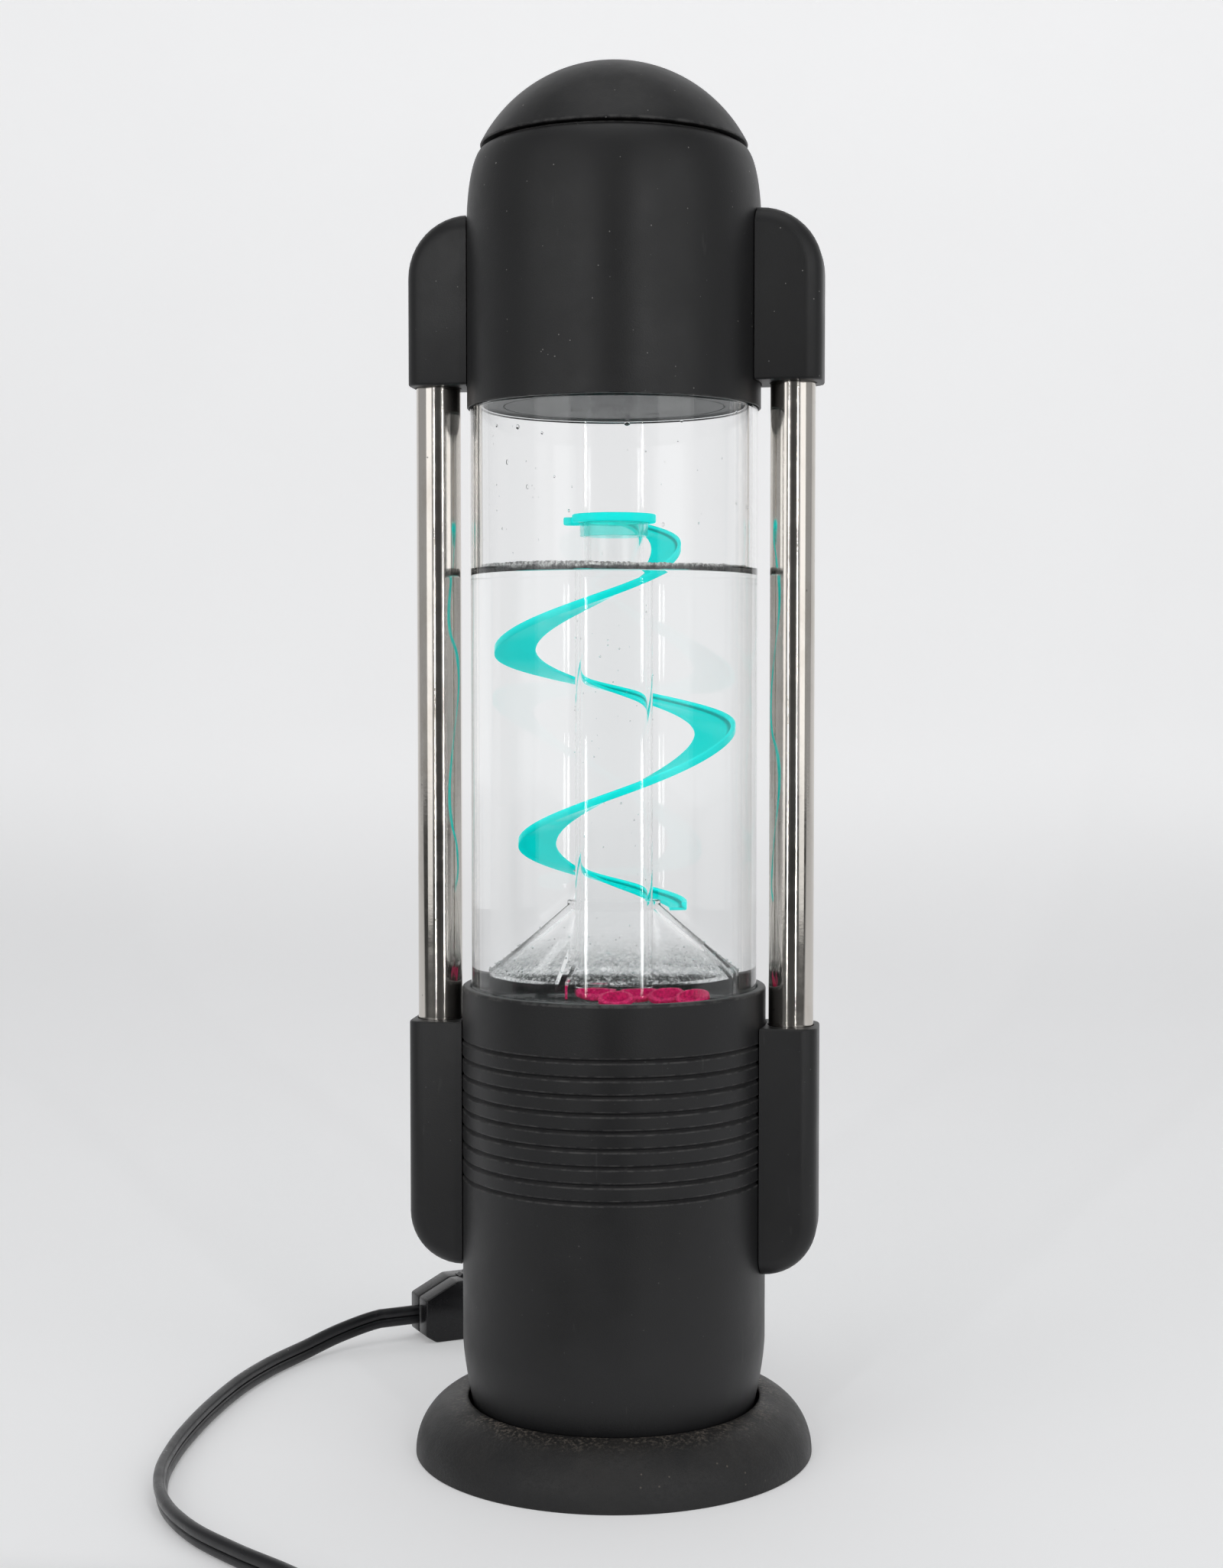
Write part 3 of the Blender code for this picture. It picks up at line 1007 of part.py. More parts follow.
def build_plug(black, brass, coil_end, before_end):
    """The plug stands beside the coil, level with the coil's upper layer."""
    way = (coil_end - before_end).normalized()
    side = Vector((-way.y, way.x, 0))
    start = coil_end + way * CLEARANCE
    turn = math.atan2(way.y, way.x)
    shape = bmesh.new()
    rings = []
    stations = ((0, PLUG_NECK_WIDTH, PLUG_NECK_HEIGHT), (PLUG_LENGTH / 2, PLUG_WIDTH, PLUG_HEIGHT),
                (PLUG_LENGTH, PLUG_WIDTH, PLUG_HEIGHT))
    for along, wide, high in stations:
        ring = []
        for y_side, z_side, y_cut, z_cut in PLUG_CORNERS:
            y = y_side * (wide / 2 - y_cut * PLUG_EDGE)
            z = z_side * (high / 2 - z_cut * PLUG_EDGE)
            ring.append(shape.verts.new((along, y, z)))
        rings.append(ring)
    count = len(PLUG_CORNERS)
    for first, second in zip(rings, rings[1:]):
        for index in range(count):
            after = (index + 1) % count
            shape.faces.new((first[index], first[after], second[after], second[index]))
    shape.faces.new(rings[0])
    shape.faces.new(rings[-1])
    body = add_object("plug_body", finish_mesh(shape, "plug_body"), black, start, (0, 0, turn))

    half_length = (BLADE_LENGTH + BLADE_SEAT_DEPTH) / 2
    blade = box_mesh("plug_blade", (half_length * 2, BLADE_THICKNESS, BLADE_WIDTH))
    blade.materials.append(brass)
    room = CLEARANCE * 2
    seat_size = ((BLADE_SEAT_DEPTH + OVERRUN) * 2, BLADE_THICKNESS + room, BLADE_WIDTH + room)
    seat = box_mesh("blade_seat", seat_size)
    face = start + way * PLUG_LENGTH
    for index, offset in enumerate((-BLADE_SPACING / 2, BLADE_SPACING / 2)):
        middle = face + side * offset + way * (OVERRUN - CLEARANCE)
        cut(body, add_object("blade_seat_%d" % (index + 1), seat, None, middle, (0, 0, turn)))
        centre = face + side * offset + way * (BLADE_LENGTH - half_length)
        add_object("plug_blade_%d" % (index + 1), blade, brass, centre, (0, 0, turn))


def build():
    clear_scene()
    plastic = material("charcoal_plastic", (0.020, 0.020, 0.022), 0.55)
    rubber = material("foot_rubber", (0.026, 0.025, 0.024), 0.75)
    black = material("cord_black", (0.010, 0.010, 0.011), 0.40)
    steel = material("polished_steel", (0.62, 0.59, 0.55), 0.18, metallic=1.0)
    clear = material("clear_acrylic", (0.93, 0.95, 0.95), 0.03, transmission=0.95)
    smoked = material("smoked_acrylic", (0.16, 0.17, 0.18), 0.12)
    tinted = material("teal_acrylic", (0.00, 0.50, 0.42), 0.20, transmission=0.4)
    magenta = material("magenta_disc", (0.75, 0.01, 0.12), 0.20, transmission=0.3)
    magnet = material("ferrite", (0.05, 0.05, 0.05), 0.50)
    motor_metal = material("motor_steel", (0.35, 0.35, 0.36), 0.40, metallic=1.0)
    ceramic = material("holder_ceramic", (0.75, 0.72, 0.65), 0.60)
    brass = material("plug_brass", (0.70, 0.58, 0.34), 0.30, metallic=1.0)

    build_foot(rubber, plastic, steel)
    lower_housing = build_lower_housing(plastic)
    upper_housing = build_upper_housing(plastic)
    build_lid(plastic)
    build_pods(plastic, steel, lower_housing, upper_housing)
    build_rods(steel)
    build_tank(clear, rubber, smoked)
    build_pump(clear, plastic, steel, magnet, motor_metal)
    build_bulb(clear, ceramic)
    build_cone(clear)
    build_riser(clear)
    build_ramp(tinted)
    build_discs(magenta)
    build_gland(rubber)
    coil = build_cord(black)
    build_switch(black, steel)
    build_plug(black, brass, coil[-1], coil[-2])


build()
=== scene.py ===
"""Dressed water bubble lamp: smooth pieces, water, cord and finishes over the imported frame.

Tables are in millimetres, in the frame's own axes. The foot stands at the origin and the cord leaves
at the back.
"""
import math

import bmesh
import bpy
import numpy as np
from mathutils import Matrix, Vector


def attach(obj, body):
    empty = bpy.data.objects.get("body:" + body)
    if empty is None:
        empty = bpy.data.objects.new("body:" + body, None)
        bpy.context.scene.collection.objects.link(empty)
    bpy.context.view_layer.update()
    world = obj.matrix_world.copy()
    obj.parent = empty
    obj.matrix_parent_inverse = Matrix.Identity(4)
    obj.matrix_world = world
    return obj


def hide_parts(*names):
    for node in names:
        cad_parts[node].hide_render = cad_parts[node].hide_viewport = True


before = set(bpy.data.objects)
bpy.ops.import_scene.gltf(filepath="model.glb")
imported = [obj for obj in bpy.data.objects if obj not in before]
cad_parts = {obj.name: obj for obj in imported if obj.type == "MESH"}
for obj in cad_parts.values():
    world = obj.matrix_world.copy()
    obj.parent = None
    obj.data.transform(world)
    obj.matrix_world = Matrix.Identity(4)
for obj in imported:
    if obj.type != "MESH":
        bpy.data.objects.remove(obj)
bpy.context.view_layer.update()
MM = 0.001
GAP = 0.3
QUARTER, FULL = math.pi / 2, 2 * math.pi
LYING_BACK = Matrix.Rotation(QUARTER, 4, "X")
LYING_ACROSS = Matrix.Rotation(QUARTER, 4, "Y")
rng = np.random.default_rng(11)
scene = bpy.context.scene


def add_object(name, data):
    """A new object in the scene."""
    made = bpy.data.objects.new(name, data)
    scene.collection.objects.link(made)
    return made


# Camera, at the photograph's place

CAMERA_PLACE = (0.1027, -0.7308, 0.2437)
CAMERA_DIP, CAMERA_PAN = 2.77, 8.059
LENS = 54.78


def add_camera():
    data = bpy.data.cameras.new("view_camera")
    data.sensor_fit = "AUTO"
    data.sensor_width = 36.0
    data.lens = LENS
    data.clip_start = 0.01
    scene.camera = add_object("view_camera", data)
    scene.camera.location = CAMERA_PLACE
    scene.camera.rotation_euler = (math.radians(90 - CAMERA_DIP), 0, math.radians(CAMERA_PAN))


add_camera()


# Node helpers

SOCKETS = {"colour": "Base Color", "rough": "Roughness", "metal": "Metallic", "ior": "IOR", "normal": "Normal",
           "clear": "Transmission Weight", "shine": "Specular IOR Level", "shine_colour": "Specular Tint",
           "glow": "Emission Strength", "glow_colour": "Emission Color"}


class Hand:
    """The node tree in hand, to which each helper adds its nodes."""
    tree = None


def feed(made, inputs=None, **more):
    """Set a node's inputs, or link them to the outputs of other nodes."""
    for key, value in {**(inputs or {}), **more}.items():
        socket = made.inputs[SOCKETS.get(key, key)]
        if isinstance(value, bpy.types.NodeSocket):
            Hand.tree.links.new(value, socket)
        else:
            socket.default_value = value


def node(kind, inputs=None, **settings):
    made = Hand.tree.nodes.new("ShaderNode" + kind)
    for key, value in settings.items():
        setattr(made, key, value)
    feed(made, inputs)
    return made


def rgba(colour):
    """A colour with its alpha; a bare number is a grey, and an output stays as it is."""
    if isinstance(colour, bpy.types.NodeSocket):
        return colour
    return (*(colour if isinstance(colour, tuple) else [colour] * 3), 1.0)


def coords(stretch=(1, 1, 1), shift=0.0):
    base = node("TexCoord").outputs["Object"]
    return node("Mapping", {"Vector": base, "Scale": stretch, "Location": (shift, shift, shift)}).outputs[0]


def part_of(vector, axis):
    return node("SeparateXYZ", {0: vector}).outputs[axis]


def place(axis):
    """The object's own coordinate along an axis, in metres."""
    return part_of(node("TexCoord").outputs["Object"], axis)


def noise(scale, detail=2.0, rough=0.5, stretch=(1, 1, 1), shift=0.0):
    return node("TexNoise", {"Vector": coords(stretch, shift), "Scale": scale,
                             "Detail": detail, "Roughness": rough}).outputs["Fac"]


def levels(value, low, high, to_low=0.0, to_high=1.0):
    return node("MapRange", {"Value": value, "From Min": low, "From Max": high,
                             "To Min": to_low, "To Max": to_high}).outputs[0]


def mottled(scale, detail, rough, *spread, **where):
    """Noise with its values spread as levels does."""
    return levels(noise(scale, detail, rough, **where), *spread)


def maths(operation, first, second=0.0, clamp=False):
    return node("Math", {0: first, 1: second}, operation=operation, use_clamp=clamp).outputs[0]


def times(first, second):
    return maths("MULTIPLY", first, second)


def plus(first, second, clamp=False):
    return maths("ADD", first, second, clamp)


def mix_colour(share, first, second):
    return node("Mix", {0: share, 6: rgba(first), 7: rgba(second)}, data_type="RGBA").outputs[2]


def bump(height, strength, distance, before=None):
    inputs = {"Height": height, "Strength": strength, "Distance": distance}
    if before is not None:
        inputs["Normal"] = before
    return node("Bump", inputs).outputs[0]


def start_material(name):
    made = bpy.data.materials.new(name)
    made.use_nodes = True
    Hand.tree = made.node_tree
    return made, made.node_tree.nodes["Principled BSDF"]


def let_lamps_through(shader, tint):
    """Shadow rays pass with a tint, so that a clear piece throws no hard shadow."""
    through = node("BsdfTransparent", {"Color": rgba(tint)}).outputs[0]
    mixed = node("MixShader", {0: node("LightPath").outputs["Is Shadow Ray"], 1: shader.outputs[0], 2: through})
    feed(Hand.tree.nodes["Material Output"], {"Surface": mixed.outputs[0]})


def facing_up(low, high):
    return levels(part_of(node("NewGeometry").outputs["Normal"], 2), low, high)


def wear_and_painted_light_here():
    return node("Attribute", attribute_name="wear_and_painted_light").outputs["Fac"]


def specks(scale, size, keep, shift=0.0):
    """Small scattered dots: cells of one scale, each with a dot in the middle where a noise allows."""
    cells = node("TexVoronoi", {"Vector": coords(shift=shift), "Scale": scale})
    dots = levels(cells.outputs["Distance"], size, size * 0.6)
    return times(dots, levels(part_of(cells.outputs["Color"], 0), keep, keep - 0.02))


# Finishes

def plastic_finish(name, dark, light, dust, roughness, grain, dusty, ior):
    """Moulded plastic: fine grain, faint clouding, specks of dust, scuffed edges and dust on upper faces."""
    made, shader = start_material(name)
    colour = mix_colour(mottled(22, 4, 0.6, 0.3, 0.7), dark, light)
    scratch = mottled(210, 3, 0.6, 0.70, 0.80, stretch=(1, 1, 0.16))
    settled = levels(place(2), 0.12, 0.34, 0.12, 0.95)
    edge_mark = times(levels(wear_and_painted_light_here(), 0.2, 1.0), mottled(300, 3, 0.6, 0.42, 0.6))
    top = times(facing_up(0.35, 1.0), mottled(120, 5, 0.7, 0.35, 0.75))
    film = plus(times(top, dusty), times(edge_mark, 0.12))
    film = plus(film, times(scratch, 0.07))
    film = plus(film, times(specks(260, 0.08, 0.09), settled))
    film = plus(film, times(specks(600, 0.15, 0.07, 3.0), times(settled, 0.6)), True)
    rough = mottled(45, 5, 0.65, 0.3, 0.7, roughness - 0.05, roughness + 0.06)
    fine = bump(noise(2200, 2, 0.6), grain, 0.00008)
    feed(shader, ior=ior, colour=mix_colour(film, colour, dust),
         rough=plus(rough, times(film, 0.25), True),
         normal=bump(noise(60, 2), 0.25, 0.0001, fine))
    return made


def frosted_finish(name, low, high):
    """Clear plastic under water, hazy and pitted towards its lower edge, with grains of grime there."""
    made, shader = start_material(name)
    height = place(2)
    depth = levels(height, high, low)
    grain = mottled(1000, 4, 0.75, 0.40, 0.64)
    patches = mottled(210, 5, 0.7, 0.38, 0.62, stretch=(1, 1, 2.5))
    haze = times(maths("POWER", depth, 2.0), plus(0.25, patches))
    haze = plus(0.01, times(haze, plus(0.2, grain)), True)
    dark_grains = times(mottled(800, 4, 0.7, 0.60, 0.66, shift=5.0), levels(depth, 0.72, 0.97))
    in_place = levels(height, low, low + 0.0004)
    haze = times(haze, in_place)
    dark_grains = times(dark_grains, in_place)
    pitted = mix_colour(grain, (0.42, 0.44, 0.44), 1.0)
    tone = mix_colour(levels(depth, 0.30, 0.85), 1.0, pitted)
    feed(shader, ior=1.045, colour=mix_colour(dark_grains, tone, 0.02),
         clear=maths("SUBTRACT", levels(haze, 0.0, 1.0, 1.0, 0.50), times(dark_grains, 0.8), True),
         rough=levels(haze, 0.0, 1.0, 0.0, 0.20),
         normal=bump(times(grain, levels(depth, 0.1, 0.8)), 0.35, 0.00008))
    let_lamps_through(shader, (0.93, 0.94, 0.94))
    return made


def clear_finish(name, ior, tint, streaks=0.0, roughness=0.0):
    """Clear plastic or water; lamps shine through it without a hard shadow."""
    made, shader = start_material(name)
    feed(shader, rough=roughness, shine_colour=rgba(0.45), colour=rgba(tint), clear=1.0, ior=ior)
    if streaks:
        lines = noise(260, 3, 0.6, (1, 1, 0.012))
        feed(shader, rough=mottled(70, 5, 0.7, 0.55, 0.8, roughness, roughness + 0.05),
             normal=bump(lines, streaks, 0.00004))
    let_lamps_through(shader, 0.97)
    return made


def tinted_painted_light_finish(name, colour, painted_shade_colour, painted_highlight_colour, transmission, roughness, ior, pass_tint, glow, strength, painted_highlight_share):
    """Translucent fluorescent plastic with slight clouding, a painted glow, painted highlights on its crests and
    painted shade in its inner corners.
    """
    made, shader = start_material(name)
    wear_and_painted_light = wear_and_painted_light_here()
    tone = mix_colour(mottled(90, 4, 0.6, 0.35, 0.7), colour, tuple(0.9 * part for part in colour))
    # Painted shade: inner corners, marked -1, go towards the painted shade colour.
    tone = mix_colour(levels(wear_and_painted_light, 0.0, -1.0, 0.0, 0.8), tone, painted_shade_colour)
    # Painted glow, weaker in the inner corners as painted shade; crests, marked 1, get a painted highlight.
    feed(shader, ior=ior, clear=transmission, glow_colour=rgba(glow),
         glow=levels(wear_and_painted_light, -1.0, 0.0, 0.45 * strength, strength),
         colour=mix_colour(levels(wear_and_painted_light, 0.0, 1.0, 0.0, painted_highlight_share), tone, painted_highlight_colour),
         rough=mottled(200, 4, 0.7, 0.3, 0.7, roughness - 0.04, roughness + 0.06),
         normal=bump(noise(700, 3, 0.6), 0.12, 0.00008))
    let_lamps_through(shader, pass_tint)
    return made


def metal_finish(name, colour, stain, roughness, ripple, stretch):
    """Polished metal with fine ripples, a faint film and small pits."""
    made, shader = start_material(name)
    film = mottled(55, 5, 0.7, 0.5, 0.8, stretch=(1, 1, 0.5))
    pits = specks(420, 0.16, 0.05)
    tone = mix_colour(times(film, 0.5), colour, stain)
    waves = bump(noise(420, 3, 0.6, stretch), ripple, 0.00003)
    feed(shader, metal=1.0, colour=mix_colour(times(pits, 0.6), tone, (0.10, 0.09, 0.08)),
         rough=mottled(90, 5, 0.7, 0.3, 0.75, roughness * 0.6, roughness * 1.9, stretch=stretch),
         normal=bump(pits, 0.3, -0.0001, waves))
    return made


def rubber_finish():
    """Dull rubber with dust rubbed into its surface, thickest round the housing."""
    made, shader = start_material("rubber_finish")
    x, y = place(0), place(1)
    across = maths("SQRT", plus(times(x, x), times(y, y)))
    ring = levels(across, 0.0545, 0.0475)
    patches = mottled(130, 6, 0.7, 0.36, 0.60)
    crumbs = mottled(900, 4, 0.75, 0.49, 0.60, shift=2.0)
    dust = times(ring, times(patches, crumbs))
    haze = times(facing_up(0.2, 0.95), mottled(60, 6, 0.75, 0.35, 0.75))
    spots = times(specks(380, 0.14, 0.10), 0.30)
    film = plus(plus(times(dust, 0.65), times(haze, 0.06)), spots, True)
    colour = mix_colour(mottled(30, 4, 0.6, 0.3, 0.7), (0.009, 0.009, 0.0095), (0.014, 0.0138, 0.0138))
    fine = bump(noise(1900, 4, 0.7), 0.4, 0.0001)
    feed(shader, ior=1.40, colour=mix_colour(film, colour, (0.25, 0.215, 0.18)),
         rough=mottled(80, 4, 0.6, 0.3, 0.7, 0.42, 0.56), normal=bump(crumbs, 0.35, 0.00015, fine))
    return made


def scum_finish():
    """Grey froth over a dark band, mottled finely."""
    made, shader = start_material("scum_finish")
    ragged = plus(place(2), mottled(300, 4, 0.7, 0.3, 0.7, -0.0005, 0.0005))
    spots = mottled(900, 5, 0.8, 0.42, 0.58, stretch=(1, 1, 0.7))
    froth = mix_colour(spots, 0.16, (0.75, 0.76, 0.75))
    dark_grains = mix_colour(spots, (0.020, 0.021, 0.021), 0.10)
    feed(shader, colour=mix_colour(levels(ragged, 0.2735, 0.2744), dark_grains, froth),
         normal=bump(spots, 0.6, 0.0002))
    return made


def cord_finish():
    """Dark glossy cord cover, clouded, with a smear and a few specks."""
    made, shader = start_material("cord_finish")
    cloud = mottled(60, 4, 0.6, 0.3, 0.7)
    colour = mix_colour(cloud, (0.006, 0.006, 0.007), (0.011, 0.011, 0.013))
    smear = times(mottled(120, 5, 0.7, 0.55, 0.75), 0.05)
    colour = mix_colour(smear, colour, (0.30, 0.29, 0.28))
    colour = mix_colour(times(specks(420, 0.16, 0.08), 0.5), colour, 0.4)
    feed(shader, ior=1.42, colour=colour, rough=mottled(150, 4, 0.6, 0.3, 0.7, 0.24, 0.40),
         normal=bump(noise(900, 3, 0.6), 0.18, 0.0001))
    return made


# Each plastic: its dark, light and dust colours, roughness, grain, dust on top and index of refraction
PLASTIC, GLOSS, SMOKED, INNER, FLOOR, CERAMIC, FERRITE = [
    plastic_finish(name + "_finish", *row) for name, *row in (
        ("charcoal", (0.0095, 0.0095, 0.010), (0.013, 0.013, 0.014), (0.30, 0.29, 0.28), 0.43, 0.40, 0.10, 1.41),
        ("switch", (0.006, 0.006, 0.007), (0.010, 0.010, 0.011), (0.36, 0.35, 0.34), 0.26, 0.10, 0.12, 1.42),
        ("smoked", (0.020, 0.022, 0.023), (0.032, 0.034, 0.036), (0.34, 0.35, 0.35), 0.12, 0.10, 0.10, 1.035),
        ("inner", (0.010, 0.010, 0.011), (0.015, 0.015, 0.016), 0.20, 0.50, 0.20, 0.05, 1.5),
        # floor: the tank floor is clear plastic; its dark colours are painted shade for the unlit base under it
        ("floor", (0.010, 0.011, 0.012), (0.016, 0.017, 0.018), 0.20, 0.12, 0.05, 0.05, 1.13),
        ("ceramic", (0.70, 0.67, 0.60), (0.76, 0.73, 0.67), (0.40, 0.36, 0.30), 0.40, 0.25, 0.20, 1.5),
        ("ferrite", (0.045, 0.045, 0.048), (0.060, 0.060, 0.062), 0.20, 0.45, 0.50, 0.05, 1.5),
    )]

# Each metal: its colour, stain, roughness, ripple and the ripples' stretch
STEEL, ZINC, BRASS = [metal_finish(name + "_finish", *row) for name, *row in (
    ("rod", (0.66, 0.625, 0.58), (0.42, 0.36, 0.30), 0.085, 0.20, (1, 1, 2.2)),
    ("screw", (0.50, 0.50, 0.49), (0.30, 0.28, 0.25), 0.25, 0.30, (1, 1, 1)),
    ("blade", (0.72, 0.60, 0.36), (0.42, 0.30, 0.16), 0.20, 0.30, (1, 1, 1)),
)]

# Each clear material: its index of refraction, tint, streaks and roughness
TUBE_CLEAR, DRY_CLEAR, WET_CLEAR, CONE_INNER, BULB_CLEAR, WATER, BUBBLE = [
    clear_finish(name + "_finish", *row) for name, *row in (
        ("tube", 1.49, (0.995, 0.998, 0.998), 0.08),
        ("dry", 1.49, (0.99, 0.995, 0.995), 0.06),
        ("wet", 1.118, (0.995, 0.998, 0.998), 0.06),
        ("cone_inner", 1.045, (0.995, 0.998, 0.998), 0.06),
        ("bulb", 1.45, (0.98, 0.98, 0.96), 0.0, 0.02),
        ("water", 1.333, (0.995, 0.999, 0.999)),
        ("bubble", 0.75, 1.0),
    )]

# Each tinted material: its colour, the colours of its painted shade and painted highlight, transmission,
# roughness, index of refraction, the tint that it lets through, the colour and strength of its painted glow, and
# how strong its crests' painted highlight is
TEAL, THIN_TEAL, MAGENTA = [tinted_painted_light_finish(name + "_finish", *row) for name, *row in (
    ("teal", (0.0, 0.29, 0.27), (0.0, 0.10, 0.09), (0.03, 0.55, 0.52), 0.25, 0.10, 1.08, (0.35, 0.85, 0.80),
     (0.0, 0.80, 0.76), 0.52, 0.5),
    ("thin_teal", (0.50, 0.97, 0.94), (0.0, 0.70, 0.66), (0.60, 1.0, 0.98), 0.96, 0.05, 1.2, (0.7, 0.95, 0.93),
     (0.0, 0.80, 0.76), 0.0, 0.5),
    ("magenta", (0.75, 0.004, 0.14), (0.30, 0.0, 0.04), (1.0, 0.09, 0.30), 0.30, 0.10, 1.12, (0.9, 0.25, 0.4),
     (0.9, 0.0, 0.16), 0.02, 0.6),
)]
CONE_CLEAR = frosted_finish("cone_finish", 0.1495, 0.168)
SCUM, RUBBER, CORD = scum_finish(), rubber_finish(), cord_finish()


# Mesh helpers

def finish_mesh(name, verts, faces, wear_and_painted_light=None, sharp=35):
    """A closed mesh in metres from millimetre points, with outward faces and a mark for each point: wear on
    plastic, and painted highlight and painted shade on tinted plastic.
    """
    mesh = bpy.data.meshes.new(name)
    mesh.from_pydata([tuple(MM * float(part) for part in vert) for vert in verts], [], faces)
    if wear_and_painted_light is not None:
        mesh.attributes.new("wear_and_painted_light", "FLOAT", "POINT").data.foreach_set("value", list(wear_and_painted_light))
    shape = bmesh.new()
    shape.from_mesh(mesh)
    bmesh.ops.recalc_face_normals(shape, faces=shape.faces)
    shape.to_mesh(mesh)
    shape.free()
    return shade(mesh, sharp)


def shade(mesh, sharp=35):
    mesh.shade_smooth()
    mesh.set_sharp_from_angle(angle=math.radians(sharp))
    return mesh


def fan(first, last, steps):
    """Angles from the first to the last."""
    return [first + (last - first) * step / steps for step in range(steps + 1)]


def arc(turns, x, y, wide, high):
    """Points at some angles of an ellipse about (x, y)."""
    return [(x + wide * math.cos(turn), y + high * math.sin(turn)) for turn in turns]


def polar(radius, angle, height=0):
    """The point at a radius, an angle and a height."""
    return radius * math.cos(angle), radius * math.sin(angle), height


def rounded(points, closed=True, support=True):
    """Turn (x, y, fillet) corners into arcs; gives (x, y, mark), 1 on an outer arc and -1 in an inner one: wear on
    plastic, and painted highlight and painted shade on tinted plastic.
    """
    flat = [np.array(point[:2], float) for point in points]
    turning = sum(flat[index - 1][0] * flat[index][1] - flat[index][0] * flat[index - 1][1]
                  for index in range(len(flat)))
    made = []
    for index, point in enumerate(points):
        here = flat[index]
        fillet = point[2] if len(point) > 2 else 0
        at_end = not closed and index in (0, len(points) - 1)
        if not fillet or at_end:
            made.append((*here, 0.0))
            continue
        back, ahead = flat[index - 1] - here, flat[(index + 1) % len(flat)] - here
        long_back, long_ahead = np.linalg.norm(back), np.linalg.norm(ahead)
        back, ahead = back / long_back, ahead / long_ahead
        corner = math.acos(max(-1.0, min(1.0, float(back @ ahead))))
        reach = min(fillet / math.tan(corner / 2), 0.46 * long_back, 0.46 * long_ahead)
        radius = reach * math.tan(corner / 2)
        inward = back + ahead
        centre = here + inward / np.linalg.norm(inward) * radius / math.sin(corner / 2)
        start, end = here + back * reach - centre, here + ahead * reach - centre
        first = math.atan2(start[1], start[0])
        sweep = (math.atan2(end[1], end[0]) - first + math.pi) % FULL - math.pi
        outer = 1.0 if (back[0] * ahead[1] - back[1] * ahead[0]) * turning < 0 else -1.0
        steps = max(2, min(8, round(abs(sweep) / 0.35)))
        made += [(*spot, outer) for spot in arc(fan(first, first + sweep, steps), *centre, radius, radius)]
    return supported(made, closed) if support else made


def supported(points, closed):
    """Add points close to both ends of long stretches, which keeps their shading flat."""
    made = []
    count = len(points)
    for index, point in enumerate(points):
        made.append(point)
        if index == count - 1 and not closed:
            break
        after = points[(index + 1) % count]
        length = math.hypot(after[0] - point[0], after[1] - point[1])
        if length > 2.5:
            for share in (0.35 / length, 1 - 0.35 / length):
                made.append((point[0] + (after[0] - point[0]) * share,
                             point[1] + (after[1] - point[1]) * share, 0.0))
    return made


def turned(profile, sides=144, wave=None):
    """Points and faces of a rounded (radius, height, fillet) profile turned about Z."""
    on_axis = profile[0][0] == 0 and profile[-1][0] == 0
    verts, faces, wear_and_painted_light, rings = [], [], [], []
    for radius, height, edge_mark in rounded(profile, not on_axis):
        count = sides if radius > 1e-6 else 1
        rings.append(range(len(verts), len(verts) + count))
        for step in range(count):
            angle = FULL * step / sides
            here = radius if wave is None else wave(radius, height, angle)
            verts.append(polar(here, angle, height))
        wear_and_painted_light += [edge_mark] * count
    for first, second in zip(rings, rings[1:] if on_axis else [*rings[1:], rings[0]]):
        for step in range(sides):
            after = (step + 1) % sides
            corners = (first[step % len(first)], second[step % len(second)], second[after % len(second)],
                       first[after % len(first)])
            faces.append(tuple(dict.fromkeys(corners)))
    return verts, faces, wear_and_painted_light


def lathe(name, profile, sides=144, wave=None):
    return finish_mesh(name, *turned(profile, sides, wave))


def pin(radius, top, bottom, sides, matrix=Matrix()):
    """A plain cylinder, along Z before it is placed."""
    return placed(lathe("tool", [(0, top), (radius, top), (radius, bottom), (0, bottom)], sides), matrix)


def sleeve(name, inner, outer, top, bottom, inner_fillet, outer_fillet, sides):
    return lathe(name, [(inner, top, inner_fillet), (outer, top, outer_fillet), (outer, bottom, outer_fillet),
                        (inner, bottom, inner_fillet)], sides)


def skinned(rings, closed=False):
    """Points and faces of a skin over equal rings of points, filled at both ends unless it meets itself."""
    count, total = len(rings[0]), len(rings) * len(rings[0])
    faces = []
    for start in range(0, total if closed else total - count, count):
        ahead = (start + count) % total
        for corner in range(count):
            other = (corner + 1) % count
            faces.append((start + corner, start + other, ahead + other, ahead + corner))
    if not closed:
        faces += [tuple(range(count)), tuple(range(total - count, total))]
    return [spot for ring in rings for spot in ring], faces


def joined(name, *parts):
    """One mesh from several (points, faces, mark) parts."""
    verts, faces, wear_and_painted_light = [], [], []
    for some_verts, some_faces, some_wear in parts:
        start = len(verts)
        verts += list(some_verts)
        faces += [tuple(start + index for index in face) for face in some_faces]
        wear_and_painted_light += list(some_wear)
    return finish_mesh(name, verts, faces, wear_and_painted_light)


def moved(part, shift, matrix=Matrix()):
    verts, faces, wear_and_painted_light = part
    return [tuple(matrix @ Vector(vert) + Vector(shift)) for vert in verts], faces, wear_and_painted_light


def taken_from(shape):
    """The points and faces of a bmesh, which is freed."""
    shape.verts.index_update()
    verts = [tuple(vert.co) for vert in shape.verts]
    faces = [tuple(vert.index for vert in face.verts) for face in shape.faces]
    shape.free()
    return verts, faces


def bevelled(shape, edges, offset, segments, profile=0.5):
    bmesh.ops.bevel(shape, geom=edges, offset=offset, segments=segments, profile=profile, affect="EDGES")


